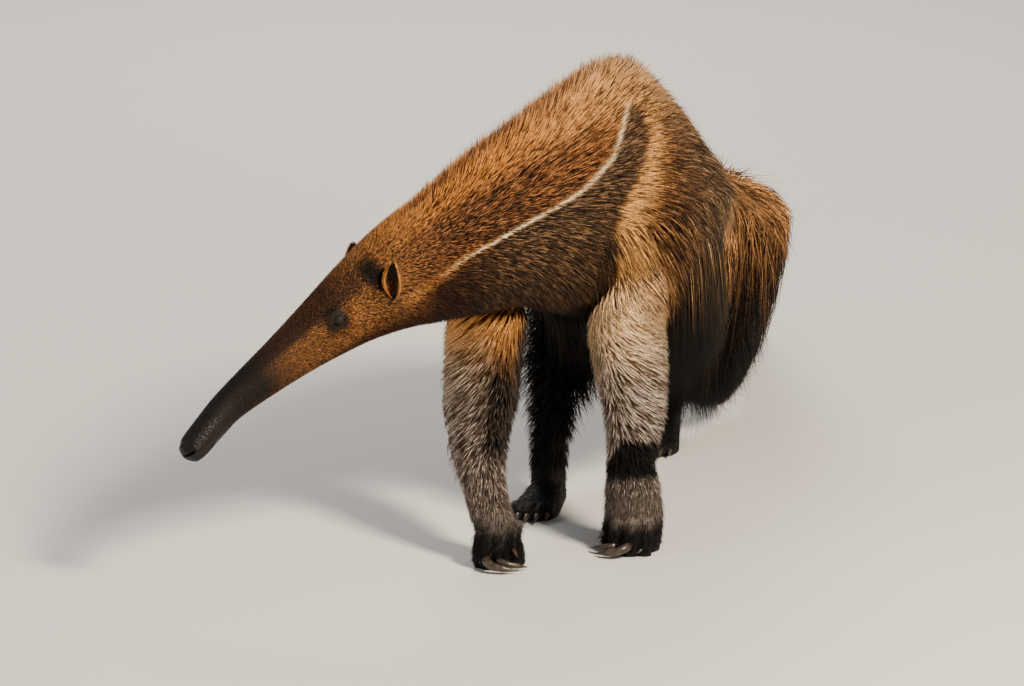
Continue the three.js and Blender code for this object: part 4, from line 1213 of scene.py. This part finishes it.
def tail_coat(name, start, end, count):
    """Long hair that parts along the top of the tail and hangs in a curtain to the floor."""
    more_below = lambda place, angle: 1 + 1.6 * smooth(0, -60, flank_angle(angle))
    place, angle = scattered_roots(spine_surface, (start, end), count, more_below)
    flank = flank_angle(angle)
    long_hair = vary(0.75, 0.36, count)
    sweep = np.interp(flank, TAIL_ROOTS, TAIL_TURNS) * long_hair + 4 * rng.standard_normal(count)
    run = np.interp(flank, TAIL_ROOTS, TAIL_RUNS) * long_hair + 0.06 * flow(place, angle, 2.0)
    sweep = np.where(np.cos(angle) >= 0, -1, 1) * np.radians(sweep)
    reach = vary(0.8, 0.21, count)[:, None]
    share = np.linspace(0, 1, 4)[None]
    lift = share**0.6
    places = np.minimum(place[:, None] + run[:, None] * share, TAIL_END + 0.35)
    angles = angle[:, None] + sweep[:, None] * share
    growth = -spine_pelt(place)[:, None] * ROOT_DEPTH * (1 - lift)
    path = spine_surface(places, angles, reach * lift, growth)
    path[:, 1:-1] += rng.normal(0, 3.5, (count, 2, 3))
    path[..., 2] = np.maximum(path[..., 2], vary(LOWEST_HAIR, 5, (count, 1)))
    _, _, _, out, _, _ = axes(spine_surface, places[:, 2], angles[:, 2])
    colours = hair_colours(*spine_hair(places, angles), 0.25, 0.5)
    width = np.interp(place, (17, 19, 24), (3.6, 3.6, 2.2)) * vary(0.6, 0.7, count)
    uvs = np.column_stack(spine_unwrap(place, turn_of(angle)))
    tuft_piece(name, path, width, out, colours, uvs)


def inside_trunk(points):
    """Whether points lie within the closed form of the trunk."""
    place = np.interp(points[:, 1], SPINE_TABLE[:, 1], np.arange(len(SPINE_TABLE)))
    rows, side, up = spine_axes(place)
    offset = points - rows[:, :3]
    sideways, upward = np.sum(offset * side, -1), np.sum(offset * up, -1)
    power = np.where(upward > 0, rows[:, 6], rows[:, 7])
    height = np.where(upward > 0, rows[:, 4], rows[:, 5]) * rows[:, 8]
    reach = np.abs(sideways / (rows[:, 3] * rows[:, 8])) ** power + np.abs(upward / height) ** power
    return reach < 0.97


# The hair of the legs: its length down the leg, and how far it sweeps back round a foreleg by
# degrees from the outer side.
LEG_LENGTHS = {"fore": (44, 46, 42, 34, 24, 16, 10), "hind": (110, 100, 64, 40, 26, 16, 10)}
SWEEP_ANGLES = (-90, -30, 0, 45, 90, 135, 180)
SWEEPS = (0, 40, 68, 66, 46, 20, 4)


def leg_coat(leg, count):
    """The hair of a leg, which sweeps down and back and hangs in a fringe behind."""
    surface = leg_surface(leg)
    front = leg.startswith("fore")
    outer = -1 if leg.endswith("left") else 1
    end = len(LEG_TABLES[leg]) - (3.0 if front else 2.8)
    place, angle = scattered_roots(surface, (0.0, end), int(count * 1.5))
    keep = ~inside_trunk(surface(place, angle))
    place, angle = place[keep][:count], angle[keep][:count]
    count = len(place)
    rear = smooth(-0.2, -0.85, np.sin(angle))
    length = np.interp(place, (0, 1, 2, 3, 4, 5, 6), LEG_LENGTHS[leg[:4]]) * vary(0.75, 0.5, count)
    from_outer = (np.degrees(angle if outer < 0 else np.pi - angle) + 90) % 360 - 90
    sweep = np.interp(from_outer, SWEEP_ANGLES, SWEEPS) if front else 14 * (1 - rear)
    sweep = sweep * (0.55 + 0.45 * smooth(0.5, 2.0, place))
    behind = np.clip(np.cos(angle - np.radians(-90 - outer * 50)), 0, 1) ** 1.5
    fringe = behind * rng.random(count) * smooth(5.4, 4.0, place)
    grow = fringe * (48 if leg == "foreleg_right" else 6)
    if not front:
        bulk = (36 if outer > 0 else 28) * rng.random(count) * smooth(4.5, 2.5, place)
        grow = grow + bulk * (1 if outer > 0 else smooth(0.8, 2.2, place))
    turn = outer * sweep * smooth(6, 3.5, place) + 8 * flow(place, angle, 3.0)
    lie = {
        "length": length * (1 + 0.5 * rear),
        "turn": turn + 7 * rng.standard_normal(count),
        "level": 1.0 + 0.9 * rear * smooth(5.5, 3.5, place) + 0.15 * rng.standard_normal(count),
        "grow": vary(1.5, 2.5, count) - 18 * smooth(1.1, 0, place) + grow,
        "width": np.interp(place, (0, 3, 6), (2.1, 1.9, 1.3)) * vary(0.65, 0.7, count),
        "root": 0.7 if leg == "foreleg_left" else 0.4,
    }
    base = (surface, leg_pelt, leg_unwrap(leg))
    hair = lambda places, angles: leg_hair(leg, places, angles)
    surface_tufts(f"coat_{leg}", base, place, angle, lie, hair, 3)


def foot_coat(leg, surface, count):
    """Short dark hair on a hand or foot, longer higher up."""
    points, faces, normals, uvs = surface
    corners = points[faces]
    area = np.cross(corners[:, 1] - corners[:, 0], corners[:, 3] - corners[:, 0])
    height = corners[:, :, 2].mean(1)
    chance = np.linalg.norm(area, axis=-1) * smooth(2, 8, height) * smooth(150, 120, height)
    face = rng.choice(len(faces), count, p=chance / chance.sum())
    weight = rng.dirichlet(np.ones(4), count)
    at_root = lambda values: np.einsum("nk,nkj->nj", weight, values[faces[face]])
    root, out = at_root(points), unit(at_root(normals))
    lead, drop = (FORWARD, 1.0) if leg in HANDS else (foot_axes(leg)[1], 0.6)
    aim = unit(-UP[None] * smooth(0, 40, root[:, 2])[:, None] * drop + lead[None] * 0.45)
    aim = aim - out * np.sum(aim * out, -1, keepdims=True)
    aim = unit(aim + 0.12 * rng.standard_normal((count, 3)))
    length = np.interp(root[:, 2], (0, 30, 90, 130), (6, 10, 15, 20)) * vary(0.7, 0.6, count)
    path = np.stack([root - out, root + aim * length[:, None] + out * (length * 0.24)[:, None]], 1)
    path[..., 2] = np.maximum(path[..., 2], 1.0)
    width = 1.5 * vary(0.7, 0.6, count)
    colours = hair_colours(*foot_colours(leg, path), root=0.5)
    tuft_piece(f"coat_{leg}_foot", path, width, out, colours, uvs[faces[face, 0]])


# The ears: rounded cups that open forward and outward.
EAR = {
    "place": 6.34,
    "angle": 13.0,
    "height": 24.5,
    "width": 13.0,
    "depth": 12.0,
    "wall": 2.6,
    "lift": 7.0,
    "rise": {"left": 9.0, "right": 13.0},
    "rows": 30,
}
EAR_U = {"left": 0.66, "right": 0.8}


def ear_axes(side_name):
    """The middle of an ear, the way it opens and the way across. The right ear is turned up a
    little more."""
    point, back, _, out, _, _ = axes_at(EAR, side_name)
    mouth = unit(0.8 * out - 0.6 * back)
    wide = unit(mouth - UP * (mouth @ UP))
    return point + out * EAR["lift"] + UP * EAR["rise"][side_name], wide, np.cross(UP, wide)


def ear_unwrap(side_name):
    return lambda r, c: (EAR_U[side_name] + 0.1 * r, 0.93 + 0.06 * c)


def ear_ring(share, width, depth, columns=17):
    """Half a cup's outline at one height, from its front edge round the back to the rear edge."""
    bulge = np.sin(np.pi * (0.03 + 0.96 * share) ** 0.9) ** 0.82
    bend = np.radians(np.linspace(-118, 118, columns))
    return width * bulge * np.sin(bend), -depth * bulge * np.cos(bend)


def build_ear(side_name):
    centre, mouth, across = ear_axes(side_name)
    rings = []
    for share in np.linspace(0.0, 0.995, EAR["rows"]):
        thin = max(EAR["wall"] * np.sin(np.pi * min(share + 0.12, 1)) ** 0.5, 0.4)
        outer = ear_ring(share, EAR["width"], EAR["depth"])
        inner = ear_ring(share, EAR["width"] - thin, EAR["depth"] - thin)
        lean = mouth * (1.5 * np.sin(np.pi * share) - 2.0 * share - 5.0 * (1 - share) ** 3)
        sides, deep = (np.concatenate([outer[i], inner[i][::-1]])[:, None] for i in (0, 1))
        level = centre + UP * ((2 * share - 1) * EAR["height"])
        rings.append(level + across * sides + mouth * deep + lean)
    rings = close_ends(np.array(rings))
    rows, sides = rings.shape[:2]
    index = np.arange(sides)
    inside = np.where((index >= sides // 2 + 3) & (index < sides - 3), 1.0, 0.0)
    tone = blend(np.broadcast_to(linear("#a2642c"), (sides, 3)), linear("#1c110b"), inside)
    colours = np.broadcast_to(tone, (rows, sides, 3))
    low = np.linspace(0, 1, rows)[:, None] * np.ones(sides)
    pink = 0.6 * inside * smooth(0.5, 0.3, low) * smooth(0.05, 0.2, low)
    colours = blend(colours, linear("#8a5a40"), pink)
    node, unwrap = f"ear_{side_name}", ear_unwrap(side_name)
    grid_object(f"{node}_cup", rings, colours, skin_material, node, unwrap)
    add_ear_hair(side_name, rings, centre, mouth)


def add_ear_hair(side_name, rings, centre, mouth):
    """Short hair on the back and rim of the ear and a few pale hairs inside it."""
    rows, sides = rings.shape[:2]
    backs, rims, insides = 2200, 2200, 300
    count = backs + rims + insides
    row = rng.uniform(3, rows - 3, count)
    half = sides // 2
    on_back = rng.uniform(0, half, backs)
    which_rim = rng.random(rims) < 0.5
    front_rim, rear_rim = rng.uniform(0, 1.2, rims), rng.uniform(half - 1.4, half + 0.4, rims)
    within = rng.uniform(half + 1, sides - 2, insides)
    column = np.concatenate([on_back, np.where(which_rim, front_rim, rear_rim), within])
    low_row, low_column = row.astype(int), column.astype(int) % sides
    part_row, part_column = (row - low_row)[:, None], (column % 1)[:, None]

    def on_ring(index):
        after = rings[index, (low_column + 1) % sides]
        return rings[index, low_column] * (1 - part_column) + after * part_column

    root = on_ring(low_row) * (1 - part_row) + on_ring(low_row + 1) * part_row
    inside = np.arange(count) >= backs + rims
    rim = (np.arange(count) >= backs) & ~inside
    out = unit(root - (centre + UP * ((root - centre) @ UP)[:, None]))
    out[inside] = mouth
    aim = unit(UP[None] * 0.9 + out * 0.35 + 0.15 * rng.standard_normal((count, 3)))
    aim[rim] = unit(aim[rim] + mouth * 0.25)
    length = np.where(inside, 7, np.where(rim, 4.0, 4.5)) * vary(0.6, 0.7, count)
    path = np.stack([root - out * 0.4, root + aim * length[:, None]], 1)
    on_rim = np.broadcast_to(rim[:, None] * 1.0, path.shape[:2])
    # The far, right ear's hair takes the near-black brow tones instead of the cheek's: painted
    # shade on the side of the head away from the light.
    tones = plain_tones("cheek" if side_name == "left" else "brow", path.shape[:2])
    colours = hair_colours(*toward(tones, HAIR["gold"], on_rim), 0.4 + 0.35 * on_rim)
    width = np.where(inside, 0.5, 0.9) * vary(0.7, 0.6, count)
    uvs = np.column_stack(ear_unwrap(side_name)(row / rows, column / sides))
    tuft_piece(f"coat_ear_{side_name}", path, width, out, colours, uvs)


# Claws and eyes.


def grid_object(name, rings, colours, material, node, unwrap=lambda r, c: (r, c)):
    """A closed piece over a grid of points, which stands for one solid."""
    faces, uvs = grid_of(rings, unwrap)
    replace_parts(new_object(name, rings, faces, colours, uvs, material), node)


def build_claw(node, path, sizes, across, sides, end):
    rings = taper(path, sizes, sizes, across, sides, end)
    grid_object(f"{node}_horn", rings, np.full(rings.shape, 0.5), claw_material, node)


def build_claws():
    for leg, inward in HANDS.items():
        for number, (across, set_back, _, radius, bends) in enumerate(DIGITS, 2):
            tip = knuckle_tip(leg, across, set_back)
            path = [tip + (inward * inside, -ahead - 6, z) for inside, ahead, z in bends]
            path[0] = path[0] + (path[0] - path[1]) * 0.25
            end = path.pop()
            sizes = [radius * (1 - 0.45 * (i / len(path)) ** 2) for i in range(len(path))]
            node = f"claw_{leg.replace('leg', 'foot')}_{number}"
            build_claw(node, path, sizes, UP, 16, end)
    for leg in FEET:
        for number, (place, reach, radius, length) in enumerate(TOES, 1):
            side, start = toe_side(place) * 1.07, FOOT_LENGTH - 14 + reach
            bends = ((0, 9.5), (0.5, 10.5), (0.85, 8), (1.15, 3.5))
            *path, end = (foot_point(leg, start + length * share, side, z) for share, z in bends)
            sizes = [radius * 0.42 * share for share in (1, 0.9, 0.55)]
            node = f"claw_{leg.replace('leg', 'foot')}_{number}"
            build_claw(node, path, sizes, foot_axes(leg)[2], 14, end)


def build_eye(side_name):
    turn, rise = np.meshgrid(np.arange(32) / 32 * 2 * np.pi, np.linspace(-np.pi / 2, np.pi / 2, 20))
    ball = np.stack([np.cos(rise) * np.cos(turn), np.cos(rise) * np.sin(turn), np.sin(rise)], -1)
    rings = eye_centre(side_name) + ball * EYE["radius"]
    colours = np.full(rings.shape, 0.5)
    grid_object(f"eyeball_{side_name}", rings, colours, eye_material, f"eye_{side_name}")


# The animal: its skin, then the coat from the snout to the tail, the legs, ears and eyes.
skin = Skin()
add_spine_skin(skin)
for side_name in SIDES:
    add_eyelids(skin, side_name)
feet = {}
for leg in LEGS:
    add_leg_skin(skin, leg)
    feet[leg] = add_foot_skin(skin, leg)
hide = skin.build("hide", skin_material)
FLESH = ["snout", "head", "neck", "torso_front", "torso_rear"]
FLESH += ["tail_base", "tail_middle", "tail_tip"]
FLESH += [f"{leg}_{part}" for leg in LEGS for part in ("upper", "lower")]
FLESH += [leg.replace("leg", "foot") for leg in LEGS]
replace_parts(hide, *FLESH)

spine_coat("coat_snout", 1.5, 4.4, 13000, 2)
spine_coat("coat_head", 4.4, 7.3, 45000, 2)
spine_coat("coat_neck", 7.3, 10.3, 36000, 2)
spine_coat("coat_shoulders", 10.3, 12.4, 30000, 2)
spine_coat("coat_back", 12.4, 15, 13000, 3)
spine_coat("coat_rump", 15, 17.6, 10000, 3)
spine_coat("coat_skirt", 10.3, 17.5, 7000, 4, hanging, skirt_lie, skirt_hair)
spine_coat("coat_shoulder_drape", 10.05, 12.0, 3600, 3, drape_roots, drape_lie)
tail_coat("coat_tail_base", 16.8, 19.4, 10500)
tail_coat("coat_tail_middle", 19.4, 21.6, 6000)
tail_coat("coat_tail_tip", 21.6, 23.9, 3400)
for leg in LEGS:
    leg_coat(leg, 8000 if leg in HANDS else 3800)
    foot_coat(leg, feet[leg], 5600 if leg in HANDS else 2800)
for side_name in SIDES:
    build_ear(side_name)
    build_eye(side_name)
build_claws()

# The floor, the light and the camera.
FLOOR_REACH = 9.0
FLOOR_CORNERS = ((-1, -1), (1, -1), (1, 1), (-1, 1))
floor_mesh = bpy.data.meshes.new("floor")
floor_points = [(x * FLOOR_REACH, y * FLOOR_REACH, 0) for x, y in FLOOR_CORNERS]
floor_mesh.from_pydata(floor_points, [], [(0, 1, 2, 3)])
floor = bpy.data.objects.new("floor", floor_mesh)
floor.data.materials.append(floor_material)
bpy.context.scene.collection.objects.link(floor)

# The photograph's camera: level angle round the animal, tilt, distance and focal length, and
# the point on the ground between the forefeet that shows at a known pixel.
CAMERA_TURN = np.radians(16.0)
CAMERA_TILT = np.radians(13.0)
CAMERA_DISTANCE = 9000.0
FOCAL_PIXELS = 6620.0
PHOTO_SIZE = np.array([1024.0, 686.0])
ANCHOR = np.array([0.0, -65.0, 0.0])
ANCHOR_PIXEL = np.array([556.0, 556.0])
SENSOR = 36.0


def place_camera():
    right = np.array([np.cos(CAMERA_TURN), np.sin(CAMERA_TURN), 0.0])
    level = np.array([-np.sin(CAMERA_TURN), np.cos(CAMERA_TURN), 0.0])
    view = level * np.cos(CAMERA_TILT) - UP * np.sin(CAMERA_TILT)
    up = np.cross(right, view)
    offset = (ANCHOR_PIXEL - PHOTO_SIZE / 2) / FOCAL_PIXELS
    eye = ANCHOR - CAMERA_DISTANCE * (view + offset[0] * right - offset[1] * up) + ORIGIN
    data = bpy.data.cameras.new("photo_camera")
    data.sensor_width = SENSOR
    data.lens = FOCAL_PIXELS / PHOTO_SIZE[0] * SENSOR
    data.clip_end = 100
    camera = bpy.data.objects.new("photo_camera", data)
    turn = Matrix([right, up, -view]).transposed().to_4x4()
    camera.matrix_world = Matrix.Translation(Vector(eye * MM)) @ turn
    bpy.context.scene.collection.objects.link(camera)
    bpy.context.scene.camera = camera


# Each light's place, power, size and colour. All aim at the middle of the animal.
LIGHTS = {
    "key": ((3.4, -2.6, 3.4), 540, 1.0, (1.0, 0.87, 0.7)),
    "fill": ((-3.6, -3.4, 2.2), 60, 3.0, (0.92, 0.95, 1.0)),
    "back": ((-1.5, 3.8, 3.2), 160, 2.0, (1.0, 0.93, 0.84)),
}
LIGHT_AIM = Vector((0, 0, 0.3))

place_camera()
for name, (place, power, size, colour) in LIGHTS.items():
    lamp = bpy.data.lights.new(name, "AREA")
    lamp.energy, lamp.size, lamp.color = power, size, colour
    light = bpy.data.objects.new(name, lamp)
    light.location = place
    light.rotation_euler = (LIGHT_AIM - Vector(place)).to_track_quat("-Z", "Y").to_euler()
    bpy.context.scene.collection.objects.link(light)
world = bpy.data.worlds.new("studio")
world.use_nodes = True
sky = world.node_tree.nodes["Background"]
sky.inputs["Color"].default_value = (0.9, 0.92, 0.95, 1)
sky.inputs["Strength"].default_value = 0.32
bpy.context.scene.world = world
